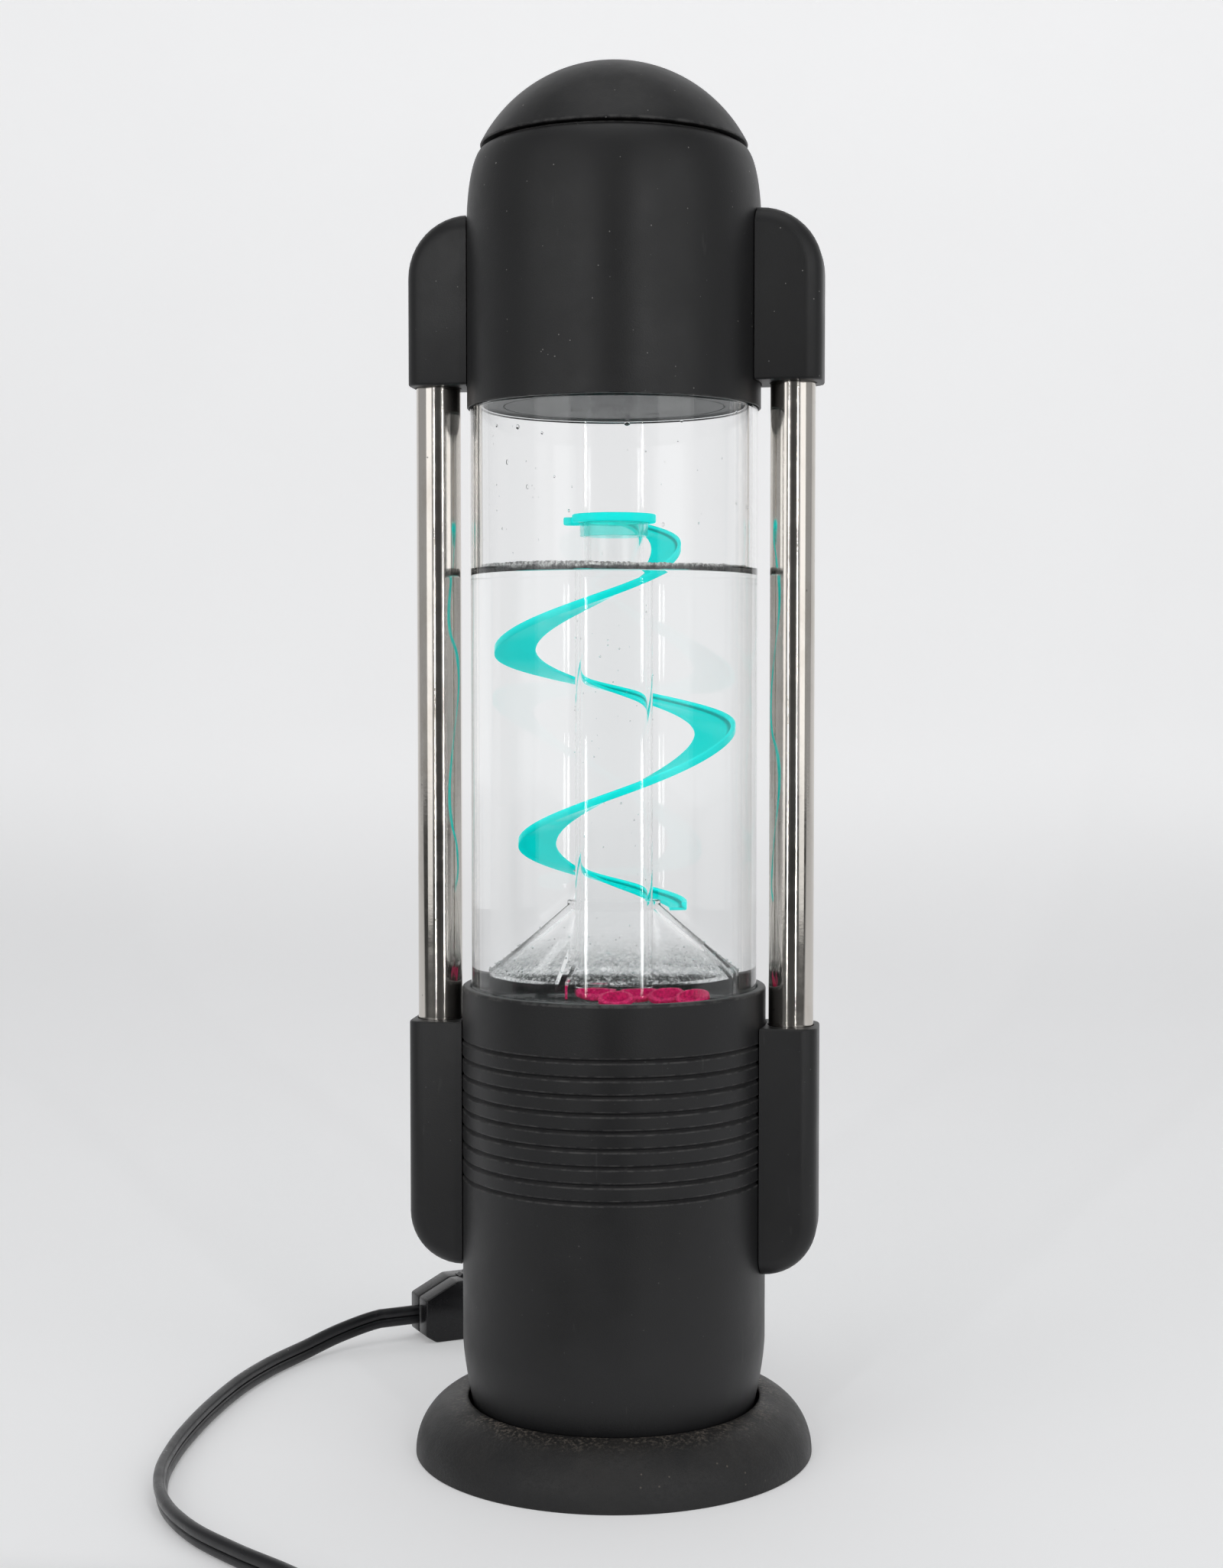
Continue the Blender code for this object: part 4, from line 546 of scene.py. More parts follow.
def pushed_out(outline, near, far):
    """A bmesh of an outline of (x, z) points extruded along Y."""
    shape = bmesh.new()
    face = shape.faces.new([shape.verts.new((x, near, z)) for x, z in outline])
    pushed = bmesh.ops.extrude_face_region(shape, geom=[face])
    raised = [item for item in pushed["geom"] if isinstance(item, bmesh.types.BMVert)]
    bmesh.ops.translate(shape, verts=raised, vec=(0, far - near, 0))
    return shape


def block(size, edge, matrix):
    """A box with chamfered edges, centred at the origin before it is placed."""
    shape = bmesh.new()
    bmesh.ops.create_cube(shape, size=1.0, matrix=Matrix.Diagonal((*size, 1.0)))
    bevelled(shape, shape.edges[:], edge, 2, 0.6)
    return placed(finish_mesh("tool", *taken_from(shape)), matrix)


def ball(radius, stretch=(1, 1, 1), detail=1):
    shape = bmesh.new()
    bmesh.ops.create_icosphere(shape, subdivisions=detail, radius=radius)
    verts, faces = taken_from(shape)
    return [tuple(part * share for part, share in zip(vert, stretch)) for vert in verts], faces, [0.0] * len(verts)


def combined(mesh, tools, operation="DIFFERENCE", sharp=35):
    """The mesh with each tool cut out of it or joined to it."""
    body = add_object("work_body", mesh)
    helpers = [add_object("work_tool", tool) for tool in tools]
    for helper in helpers:
        step = body.modifiers.new("step", "BOOLEAN")
        step.operation = operation
        step.solver = "EXACT"
        step.object = helper
    bpy.context.view_layer.update()
    made = bpy.data.meshes.new_from_object(body.evaluated_get(bpy.context.evaluated_depsgraph_get()))
    close_slits(made)
    keep_wear_and_painted_light(made, [mesh, *tools])
    name = mesh.name
    for old in [body, *helpers]:
        bpy.data.objects.remove(old)
    for old in [mesh, *tools]:
        bpy.data.meshes.remove(old)
    made.name = name
    return shade(made, sharp)


def close_slits(mesh):
    """Merge doubled points and fill the slivers that a cut leaves open."""
    shape = bmesh.new()
    shape.from_mesh(mesh)
    bmesh.ops.remove_doubles(shape, verts=shape.verts, dist=0.002 * MM)
    bmesh.ops.dissolve_degenerate(shape, dist=0.001 * MM, edges=shape.edges)
    slits = [edge for edge in shape.edges if edge.is_boundary]
    if slits:
        bmesh.ops.holes_fill(shape, edges=slits, sides=8)
    shape.to_mesh(mesh)
    shape.free()


def keep_wear_and_painted_light(mesh, sources):
    """Give each point the wear and painted-light mark of the source point at its place, and 0 to new points."""
    known = {}
    for source in sources:
        if "wear_and_painted_light" in source.attributes:
            values = source.attributes["wear_and_painted_light"].data
            known.update((place_of(vert), values[vert.index].value) for vert in source.vertices)
    if "wear_and_painted_light" in mesh.attributes:
        mesh.attributes.remove(mesh.attributes["wear_and_painted_light"])
    fresh = mesh.attributes.new("wear_and_painted_light", "FLOAT", "POINT")
    fresh.data.foreach_set("value", [known.get(place_of(vert), 0.0) for vert in mesh.vertices])


def place_of(vert):
    return tuple(round(part / MM, 2) for part in vert.co)


def second_finish(mesh, chosen):
    """Give the piece's second finish to the faces that are chosen by their centre and normal."""
    for face in mesh.polygons:
        face.material_index = int(chosen(face.center / MM, face.normal))
    return mesh


def placed(mesh, matrix):
    mesh.transform(matrix)
    return mesh


def turn_z(angle):
    return Matrix.Rotation(angle, 4, "Z")


def shift_mm(x, y, z):
    return Matrix.Translation(Vector((x, y, z)) * MM)


def piece(mesh, finishes, nodes=(), body="lamp"):
    """A piece with its mesh's name, its finishes, and the frame's nodes that it replaces."""
    made = add_object(mesh.name, mesh)
    for finish in finishes if isinstance(finishes, list) else [finishes]:
        mesh.materials.append(finish)
    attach(made, body)
    if nodes:
        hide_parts(*nodes)
    return made


# Cord

def curve_at(before, start, end, after, along):
    """A smooth curve's place between start and end."""
    return 0.5 * (2 * start + (end - before) * along + (2 * before - 5 * start + 4 * end - after) * along ** 2
                  + (3 * start - before - 3 * end + after) * along ** 3)


def spline(points, per_space=16):
    """A smooth line through points; the first and last only steer it."""
    points = np.array(points, float)
    made = []
    for index in range(1, len(points) - 2):
        for along in np.linspace(0, 1, per_space, endpoint=False):
            made.append(curve_at(*points[index - 1:index + 3], along))
    return np.array(made + [points[-2]])


def even_line(points, step):
    """The same line with its points at even distances."""
    travelled = np.concatenate([[0], np.cumsum(np.linalg.norm(np.diff(points, axis=0), axis=1))])
    stops = np.linspace(0, travelled[-1], round(travelled[-1] / step) + 1)
    return np.array([[np.interp(stop, travelled, points[:, axis]) for axis in range(3)] for stop in stops])


def twin_section():
    """Half-widths of the flat twin cord at heights from its middle: two cores with a groove between."""
    upper = [(0.0, 0.95), (0.16, 1.22), (0.34, 1.56), (0.75, 1.68), (1.25, 1.74), (1.65, 1.75)]
    upper += arc(fan(QUARTER, 0, 5)[1:], 1.65, 0, 1.75, 1.75)
    right = [(wide, -high) for high, wide in reversed(upper[1:])] + [(wide, high) for high, wide in upper]
    return right + [(-wide, high) for wide, high in reversed(right[1:-1])]


def twin_cord(name, line, lean):
    """Sweep the twin section along a line in millimetres; lean tips it from upright, at a share of the way."""
    section = twin_section()
    rings = []
    for index, spot in enumerate(line):
        after, before = line[min(index + 1, len(line) - 1)], line[max(index - 1, 0)]
        way = Vector(after - before).normalized()
        side = way.cross(Vector((0, 0, 1))).normalized()
        high = side.cross(way)
        angle = lean(index / (len(line) - 1))
        wide = side * math.cos(angle) + high * math.sin(angle)
        tall = high * math.cos(angle) - side * math.sin(angle)
        rings.append([tuple(Vector(spot) + wide * across + tall * up) for across, up in section])
    return finish_mesh(name, *skinned(rings), sharp=50)


LEAD_ROUTE = [(25.2, 109.4, 4.7), (20.5, 122.2, 3.7), (10.7, 133.8, 3.5), (-2.7, 141.8, 3.6), (-19.2, 145.8, 6.1)]
RUN_ROUTE = [
    (-111.6, 90.2, 6.4), (-120.9, 75.4, 3.9), (-127.2, 57.5, 3.5), (-131.2, 37.0, 3.5), (-133.0, 14.0, 3.5),
    (-133.2, -10.0, 3.5), (-131.8, -34.0, 3.5), (-127.8, -58.0, 3.5), (-119.0, -80.5, 3.5),
    (-104.6, -100.0, 3.5), (-86.4, -115.6, 3.5), (-67.2, -129.6, 3.5), (-50.8, -145.0, 3.5),
]
CORD_SPACE = 7.3
SWITCH_TURN = math.radians(33)
SWITCH_PLACE = Vector((-66.9, 122.0, 0))
SWITCH_HALF = 24.0
SWITCH_CORD_HEIGHT = 9.1
GLAND_TURN = math.radians(75)
GLAND_WAY = Vector(polar(1, GLAND_TURN))
GLAND_HEIGHT = Vector((0, 0, 7))
COIL_PLACE = Vector((-68.9, -204.5, 0))
COIL_RADIUS = 46.5
COIL_TURNS = 128 / 24
COIL_START = math.radians(30)
COIL_STEPS = 480


def heading(angle):
    return Vector((math.sin(angle), -math.cos(angle), 0))


def coil_line():
    """Loops that spiral in along the table, climb a layer and spiral out again on top."""
    made = []
    half = COIL_TURNS / 2
    for step in range(COIL_STEPS + 1):
        turn = COIL_TURNS * step / COIL_STEPS
        angle = COIL_START - FULL * turn
        radius = COIL_RADIUS - CORD_SPACE * (half - abs(turn - half))
        height = 3.45 + CORD_SPACE * min(1.0, max(0.0, (turn - half) * 2 + 0.5))
        made.append(COIL_PLACE + Vector(polar(radius, angle, height)))
    into, away = heading(COIL_START), heading(angle)
    return [made[0] - into * 6.8] + made + [made[-1] + away * 19.0, made[-1] + away * 38.0], into, away


def straight_route(start, out_way, middle, end, in_way):
    """Leaves and arrives straight, a gap off each face, as the frame's cord does."""
    first, last = start + out_way * GAP, end - in_way * GAP
    route = [first, first + out_way * 14.5, *[Vector(point) for point in middle], last - in_way * 14.5, last]
    inside = spline(route)
    return np.vstack([np.linspace(first, inside[0], 6)[:-1], inside, np.linspace(inside[-1], last, 6)[1:]])


def settle(share):
    """How far the run leans over from standing on edge, from the switch to the coil."""
    return math.radians(-14 * math.sin(math.pi * min(1.0, share / 0.2)))


def add_cord():
    through = -Vector(polar(1, SWITCH_TURN))
    middle = SWITCH_PLACE + Vector((0, 0, SWITCH_CORD_HEIGHT))
    far_end, near_end = middle - through * SWITCH_HALF, middle + through * SWITCH_HALF
    lead = straight_route(GLAND_WAY * 84 + GLAND_HEIGHT, GLAND_WAY, LEAD_ROUTE, far_end, through)
    coil, into, away = coil_line()
    run = np.vstack([straight_route(near_end, through, RUN_ROUTE, coil[0], into), np.array(coil[1:])])
    lead, run = even_line(lead, 2.0), even_line(run, 2.4)
    lead_cord = piece(twin_cord("cord_lead_twin", lead, lambda share: 0.0), CORD, ["cord_lead"])
    run_cord = piece(twin_cord("cord_run_twin", run, settle), CORD, ["cord_run", "cord_coil"])
    return lead_cord, lead, run_cord, run, coil[-1], away


lead_cord, lead_line, run_cord, run_line, coil_end, coil_away = add_cord()

PLUG_STATIONS = [
    (0, 11.0, 10.0), (0.9, 12.0, 11.0), (3.0, 12.0, 11.0), (3.4, 11.2, 10.2), (4.4, 11.2, 10.2),
    (4.8, 13.0, 12.2), (6.4, 13.4, 12.6), (6.8, 12.6, 11.8), (7.8, 12.8, 12.0), (8.2, 15.4, 14.4),
    (10.6, 19.6, 18.6), (13.5, 22.0, 21.0), (18.0, 22.0, 21.0), (19.0, 20.6, 20.2), (20.6, 20.6, 20.2),
    (21.6, 22.0, 21.0), (26.1, 22.0, 21.0), (27.0, 20.8, 19.8),
]
PLUG_SIDES = 40
BLADE_OFFSETS = (-6.35, 6.35)


def squarish(angle, wide, high):
    """The point at an angle of an outline between an ellipse and a rectangle."""
    across, up = math.cos(angle), math.sin(angle)
    spread = (abs(across) ** 5 + abs(up) ** 5) ** -0.2
    return wide / 2 * across * spread, high / 2 * up * spread


def blade_mesh(name):
    """A blade with a rounded tip and a hole."""
    outline = rounded([(-12, -3.15, 0.3), (12, -3.15, 1.6), (12, 3.15, 1.6), (-12, 3.15, 0.3)])
    ring = len(outline)
    verts = [(x, y, z) for y in (-0.75, 0.75) for x, z, edge_mark in outline]
    faces = [tuple(range(ring)), tuple(range(2 * ring - 1, ring - 1, -1))]
    faces += [(step, (step + 1) % ring, ring + (step + 1) % ring, ring + step) for step in range(ring)]
    hole = pin(1.5, 3, -3, 24, shift_mm(8.2, 0, 0) @ LYING_BACK)
    return combined(finish_mesh(name, verts, faces), [hole])


def add_plug():
    """Moulded plug with a ribbed neck, and two blades."""
    side = Vector((-coil_away.y, coil_away.x, 0))
    basis = Matrix((coil_away, side, (0, 0, 1))).transposed().to_4x4()
    seat = Matrix.Translation((coil_end + coil_away * GAP) * MM) @ basis
    rings = [[(along, *squarish(FULL * (step + 0.5) / PLUG_SIDES, wide, high)) for step in range(PLUG_SIDES)]
             for along, wide, high in PLUG_STATIONS]
    body = finish_mesh("plug_moulding", *skinned(rings), sharp=40)
    cuts = [block((22.6, 2.1, 6.9), 0.05, shift_mm(30.0, offset, 0)) for offset in BLADE_OFFSETS]
    body = placed(combined(body, cuts, sharp=40), seat)
    made = [piece(body, GLOSS, ["plug_body"])]
    for number, offset in enumerate(BLADE_OFFSETS, 1):
        blade = placed(blade_mesh("blade_%d" % number), seat @ shift_mm(27 + 16 - 12, offset, 0))
        made.append(piece(blade, BRASS, ["plug_blade_%d" % number]))
    return made


WHEEL_HEIGHT, SCREW_HEIGHT = 14, 9
KNURLS = 20


def knurl(radius, height, angle):
    return radius - 0.6 * max(0.0, math.cos(angle * KNURLS)) ** 0.7 * (radius > 11)


def add_switch():
    """Two shells of the in-line switch with a seam between them, and the knurled wheel in their slot."""
    seat = Matrix.Translation(SWITCH_PLACE * MM) @ turn_z(SWITCH_TURN)
    axle = shift_mm(0, 0, WHEEL_HEIGHT) @ LYING_BACK
    outline = [(-24, 2.6), (-20, 0), (20, 0), (24, 2.6), (24, 15.6), (12, 21.6), (-12, 21.6), (-24, 15.6)]
    made = []
    for name, near, far in (("front", -8.15, -0.15), ("back", 0.15, 8.15)):
        shape = pushed_out(outline, near, far)
        bevelled(shape, shape.edges[:], 0.7, 3)
        shell = finish_mesh("switch_" + name, *taken_from(shape), sharp=40)
        tools = [pin(11.8, 2.8, -2.8, 72, axle), pin(1.8, 12, -12, 24, axle)]
        for along in (-16.5, 16.5):
            screw = shift_mm(along, 0, SCREW_HEIGHT) @ LYING_BACK
            tools.append(pin(1.7, 5.7, -12, 20, screw))
            if name == "back":
                tools.append(pin(3.1, -6.05, -12, 28, screw))
        shell = placed(combined(shell, tools, sharp=40), seat)
        made.append(piece(shell, GLOSS, ["switch_shell_" + name]))
    rim = [(1.8, 2.5), (9.0, 2.5, 0.3), (9.4, 2.2, 0.2), (11.5, 2.1, 0.4), (11.5, -2.1, 0.4), (9.4, -2.2, 0.2),
           (9.0, -2.5, 0.3), (1.8, -2.5)]
    wheel = placed(lathe("switch_knurled_wheel", rim, 200, knurl), seat @ axle)
    return made + [piece(wheel, GLOSS, ["switch_wheel"], "thumb_wheel")]


plug_pieces = add_plug()
switch_pieces = add_switch()


# Foot and housings

TUBE_R, TUBE_INNER = 44.2, 41.2
LOWER_R, LOWER_INNER = 47.1, 44.5
UPPER_R, UPPER_MOUTH = 45.1, 39.9
LOWER_BOTTOM, LOWER_TOP, TUCK_TOP = 7.6, 145.7, 36.0
UPPER_BOTTOM, UPPER_TOP, CURVE_BOTTOM = 323.2, 402.2, 378.2
TUCK_TALL = TUCK_TOP - LOWER_BOTTOM
GROOVES, GROOVE_SPACE = 9, 5.24
ROD_X, ROD_R, ROD_INNER = 55.0, 6.9, 5.9
POD_HALF = 11.0
WATER_LEVEL = 272.4


def tuck(height):
    """The lower housing's radius, which draws in towards the foot."""
    share = max(0.0, (TUCK_TOP - height) / TUCK_TALL)
    return LOWER_R - 5.1 * share ** 1.5


def at_gland(mesh, away):
    """A mesh turned to point along the gland, at a distance from the axis."""
    return placed(mesh, Matrix.Translation((GLAND_WAY * away + GLAND_HEIGHT) * MM) @ turn_z(GLAND_TURN)
                  @ LYING_ACROSS)


def foot_mesh():
    mouth = tuck(17.5) + 1.0
    profile = [(mouth, 17.2, 0.4)] + arc(fan(QUARTER, 0, 24), mouth + 0.6, 0.3, 15.83, 17.2)
    profile += [(mouth + 16.2, 0.0, 0.2), (43.3, 0.0, 0.4), (43.3, 4.8, 0.3), (30.0, 4.8, 0.3),
                (30.0, 7.3, 0.3), (mouth, 7.3, 0.3)]
    hole = at_gland(pin(5.5, 40, 0, 40), mouth - 1.0)
    return combined(lathe("rubber_foot", profile, 168), [hole])


def gland_mesh():
    """Tapered strain relief with flexing grooves."""
    profile = [(0, 0), (5.2, 0, 0.3), (5.2, 12.0, 0.4)]
    for step in range(4):
        start = 13.2 + step * 4.4
        wide = 5.0 - step * 0.24
        profile += [(wide - 0.9, start, 0.15), (wide - 0.9, start + 1.0, 0.15),
                    (wide, start + 1.3, 0.3), (wide - 0.1, start + 4.1, 0.3)]
    profile += [(4.0, 33.0, 0.3), (3.7, 34.0, 0.3), (0, 34.0)]
    return at_gland(lathe("strain_relief", profile, 48), 50)


def lower_housing_mesh():
    """The base's casing with its grooves and the three posts inside it."""
    profile = [(LOWER_INNER, LOWER_TOP, 0.4), (LOWER_R, LOWER_TOP, 0.8)]
    for groove in range(GROOVES):
        middle = LOWER_TOP - 16.6 - groove * GROOVE_SPACE
        profile += [(LOWER_R, middle + 0.8, 0.2), (LOWER_R - 0.9, middle, 0.12), (LOWER_R, middle - 0.8, 0.2)]
    profile += [(tuck(height), height) for height in fan(TUCK_TOP, LOWER_BOTTOM, 20)]
    profile += [(30.0, 7.6), (30.0, 10.1)]
    profile += [(tuck(height) - 2.6, height) for height in fan(10.1, TUCK_TOP, 8)]
    profile += [(LOWER_INNER, 122.0), (38.0, 122.0), (38.0, 124.5), (LOWER_INNER, 124.5)]
    parts = [turned(profile, 168)]
    for index in range(3):
        angle = math.radians(31.5 + 120 * index)
        post = turned([(0, 79.2), (3.4, 79.2, 0.3), (3.4, 8.9), (0, 8.9)], 32)
        parts.append(moved(post, polar(36.0, angle)))
    return joined("ribbed_housing", *parts)


def upper_housing_mesh():
    """The head's casing; the flange that shows through the tube as the ceiling's edge has its own finish."""
    profile = [(UPPER_MOUTH - 2.0, UPPER_TOP), (UPPER_MOUTH - 1.0, UPPER_TOP, 0.15),
               (UPPER_MOUTH - 1.0, UPPER_TOP - 0.8)]
    profile += arc(fan(QUARTER, 0, 20), UPPER_MOUTH, CURVE_BOTTOM, 5.2, 23.2)
    profile += [(UPPER_R, UPPER_BOTTOM, 0.25), (44.5, UPPER_BOTTOM, 0.15), (44.5, 326.7), (40.9, 326.7),
                (40.9, 323.7, 0.1), (34.0, 323.7, 0.06), (34.0, 329.2, 0.2), (43.1, 329.2)]
    profile += arc(fan(0, QUARTER, 16)[:-1], UPPER_MOUTH - 2.0, CURVE_BOTTOM, 5.2, 24.0)
    return second_finish(lathe("head_housing", profile, 168),
                         lambda spot, way: spot.z < 326.8 and math.hypot(spot.x, spot.y) < 41.1)


def lid_mesh():
    rim, height, bottom = 41.2, 25.5, 402.5
    sphere = (rim ** 2 + height ** 2) / (2 * height)
    centre = bottom + height - sphere
    outside = arc(fan(QUARTER, math.atan2(bottom - centre, rim), 32), 0, centre, sphere, sphere)
    hollow = sphere - 2.0
    inside = arc(fan(math.acos(35.8 / hollow), QUARTER, 16), 0, centre, hollow, hollow)
    profile = [(0, outside[0][1]), *outside[1:-1], (*outside[-1], 0.5), (37.6, bottom, 0.1),
               (37.6, bottom - 9.0, 0.3), (35.8, bottom - 9.0, 0.3), *inside[:-1], (0, inside[-1][1])]
    return lathe("domed_cover", profile, 168)


def pod_shape(reach, height, corner, root):
    """A pod's block, with its outer end rounded and a small lip at its foot."""
    outline = [(root, 0), (reach, 0), *arc(fan(0, QUARTER, 12), reach - corner, height - corner, corner, corner),
               (root, height)]
    shape = pushed_out(outline, -POD_HALF, POD_HALF)
    bmesh.ops.recalc_face_normals(shape, faces=shape.faces)

    def edges(fits):
        """Edges off the root whose higher end's height and whose run along Y fit."""
        ends = [(edge, *[vert.co for vert in edge.verts]) for edge in shape.edges]
        return [edge for edge, one, two in ends
                if max(one.x, two.x) > root + 0.1 and fits(max(one.z, two.z), abs(one.y - two.y))]

    bevelled(shape, edges(lambda top, along: along < 0.1 and top > 0.1), 5.5, 8)
    bevelled(shape, edges(lambda top, along: top < 0.01), 0.7, 3)
    return taken_from(shape)


def pod_mesh(name, reach, height, corner, housing_radius, start, way, side):
    verts, faces = pod_shape(reach, height, corner, housing_radius * 0.8)
    body = finish_mesh(name, [(x * side, y, start + way * z) for x, y, z in verts], faces)
    seat = pin(housing_radius + GAP, 440, -10, 168)
    low, high = sorted((start - way * 3.0, start + way * 25.3))
    socket = pin(7.2, high, low, 64, shift_mm(ROD_X * side, 0, 0))
    return combined(body, [seat, socket], sharp=38)


def add_casings():
    piece(foot_mesh(), RUBBER, ["foot_ring"])
    piece(gland_mesh(), RUBBER, ["cord_gland"])
    piece(lower_housing_mesh(), PLASTIC, ["lower_housing"])
    piece(upper_housing_mesh(), [PLASTIC, SMOKED], ["upper_housing"])
    piece(lid_mesh(), PLASTIC, ["dome_lid"], "lid")
    for side, word in ((1, "right"), (-1, "left")):
        pods = (("head", "upper", 63.7 + 0.6 * side, 52.0, 19.0, UPPER_R, 330.4, 1),
                ("base", "lower", 63.5, 76.6, 16.5, LOWER_R, 134.3, -1))
        for part, level, *sizes in pods:
            piece(pod_mesh(part + "_pod_" + word, *sizes, side), PLASTIC, [level + "_pod_" + word])
        rod = sleeve("steel_rod_" + word, ROD_INNER, ROD_R, 355.4, 109.3, 0.2, 0.3, 96)
        piece(placed(rod, shift_mm(ROD_X * side, 0, 0)), STEEL, ["support_rod_" + word])


add_casings()


# Tank and what stands in it

RISER_R, RISER_TOP = 9.0, 289.5
CONE_R, CONE_LOW, CONE_HIGH = 29.0, 150.0, 171.5
CONE_NARROW = 10.8
RAMP_REACH, RAMP_TOP, RAMP_TALL = 19.1, 289.6, 118.9
RAMP_START = math.radians(98)
RAMP_QUARTERS, RAMP_STEPS = 9, 20
FLOOR_ROOM = 22.71

# The ramp at each quarter turn: its outer edge and its width as shares of its reach, and its drop
REACH = (0.236, 0.588, 0.838, 0.969, 1.0, 1.0, 0.895, 0.707, 0.513, 0.414)
WIDTH = (0.179, 0.473, 0.497, 0.497, 0.497, 0.497, 0.497, 0.473, 0.373, 0.209)
DROP = (0.0, 0.060, 0.196, 0.321, 0.442, 0.563, 0.703, 0.834, 0.945, 1.0)


def water_mesh():
    """The water stands in the tank up to its level and creeps up the wall a little."""
    creep = ((0.15, 1.5), (0.5, 0.8), (1.1, 0.3), (2.0, 0.06), (3.2, 0))
    profile = [(0, 140.2), (TUBE_INNER + 0.1, 140.2), (TUBE_INNER + 0.1, WATER_LEVEL + 1.9),
               *[(TUBE_INNER - inward, WATER_LEVEL + rise) for inward, rise in creep], (0, WATER_LEVEL)]
    return lathe("tank_water", profile, 192)


def cone_mesh():
    """The slotted cone; its inner faces have their own finish."""
    profile = [(9.3, 173.0, 0.2), (CONE_NARROW, 173.0, 0.3), (CONE_NARROW, CONE_HIGH, 0.3),
               (CONE_R, CONE_LOW, 0.15), (CONE_R, 141.3, 0.1), (27.5, 141.3, 0.15), (27.5, 148.5, 0.4),
               (9.3, 170.0)]
    tools = []
    for angle in (8, 128, 248):
        seat = turn_z(math.radians(angle)) @ shift_mm(26.5, 0, 138.3 + 15.1)
        tools.append(block((11.0, 3.0, 30.2), 0.05, seat))
    return second_finish(combined(lathe("clear_cone", profile, 144), tools),
                         lambda spot, way: way.x * spot.x + way.y * spot.y < 0)


def riser_mesh():
    """Thin riser; its dry end above the water has its own finish."""
    profile = [(7.8, 147.0), (RISER_R, 147.0), (RISER_R, WATER_LEVEL), (RISER_R, RISER_TOP, 0.2),
               (7.8, RISER_TOP, 0.2), (7.8, WATER_LEVEL)]
    return second_finish(lathe("riser_pipe", profile, 96), lambda spot, way: spot.z > WATER_LEVEL)


def share_at(shares, position):
    """A table's smoothed value at a place between its quarter turns."""
    last = len(shares) - 1
    index = min(int(position), last - 1)
    around = [shares[min(max(index + step, 0), last)] for step in (-1, 0, 1, 2)]
    return curve_at(*around, position - index)


def ribbon_mesh():
    """The ramp's ribbon, with a raised outer rail and rounded edges."""
    rings, wear_and_painted_light = [], []
    for step in range(RAMP_QUARTERS * RAMP_STEPS + 1):
        position = step / RAMP_STEPS
        angle = RAMP_START - position * QUARTER
        outer = RISER_R + RAMP_REACH * share_at(REACH, position)
        inner = outer - RAMP_REACH * share_at(WIDTH, position)
        level = RAMP_TOP - RAMP_TALL * share_at(DROP, position)
        rail = outer - 1.1
        section = rounded([(inner, 0, 0.25), (inner + 0.6, 0), (rail - 1.1, 0), (rail, 0, 0.4), (rail, 1.5, 0.35),
                           (outer, 1.5, 0.35), (outer, -0.9, 0.25), (outer - 0.6, -0.9), (inner + 0.6, -0.9),
                           (inner, -0.9, 0.25)], support=False)
        rings.append([polar(radius, angle, level + rise) for radius, rise, edge_mark in section])
        # Painted highlight on the rail's top (1) and painted shade at the foot of the rail's inner wall (-1).
        wear_and_painted_light += [1.0 if rise > 0.9 else -1.0 if rise > -0.1 and radius > rail - 0.5 else 0.0
                 for radius, rise, edge_mark in section]
    return finish_mesh("ribbon", *skinned(rings), wear_and_painted_light)


def ramp_mesh():
    """The ramp with its collar and hook; the collar's thin sleeve has its own finish."""
    collar = lathe("spiral_slide", [(7.8, 291.0, 0.2), (13.0, 291.0, 0.4), (13.0, 288.4, 0.5), (10.5, 288.4, 0.3),
                                    (10.5, 284.2, 0.3), (9.3, 284.2, 0.2), (9.3, 289.8), (7.8, 289.8)], 96)
    hook = block((5.0, 5.0, 2.5), 0.6, shift_mm(-13.0, 0, 288.95))
    mesh = combined(collar, [hook, ribbon_mesh()], "UNION")
    return second_finish(mesh, lambda spot, way: math.hypot(spot.x, spot.y) < 10.55 and 284.0 < spot.z < 288.5)


def floor_mesh():
    disc = sleeve("clear_floor", 3.5, 40.9, 141.0, 138.0, 0.3, 0.3, 144)
    inlets = [pin(2.0, 145, 135, 24, shift_mm(*polar(11, math.radians(31 + 90 * index)))) for index in range(4)]
    return combined(disc, inlets)


def bubbles_mesh():
    """Air clinging to the cone, thickest towards its skirt, and a few bubbles on the riser."""
    parts = []
    for index in range(650):
        share = rng.beta(0.7, 3.4)
        angle = rng.uniform(0, FULL)
        size = 0.09 + 0.20 * rng.random() ** 3
        lift = size * 0.9 + 0.05
        radius = CONE_R - (CONE_R - CONE_NARROW) * share + 0.763 * lift
        height = CONE_LOW + (CONE_HIGH - CONE_LOW) * share + 0.646 * lift
        parts.append(moved(ball(size), polar(radius, angle, height)))
    for index in range(60):
        angle = rng.uniform(0, FULL)
        size = 0.12 + 0.22 * rng.random() ** 2
        parts.append(moved(ball(size), polar(RISER_R + size, angle, rng.uniform(178, 268))))
    return joined("water_bubbles", *parts)


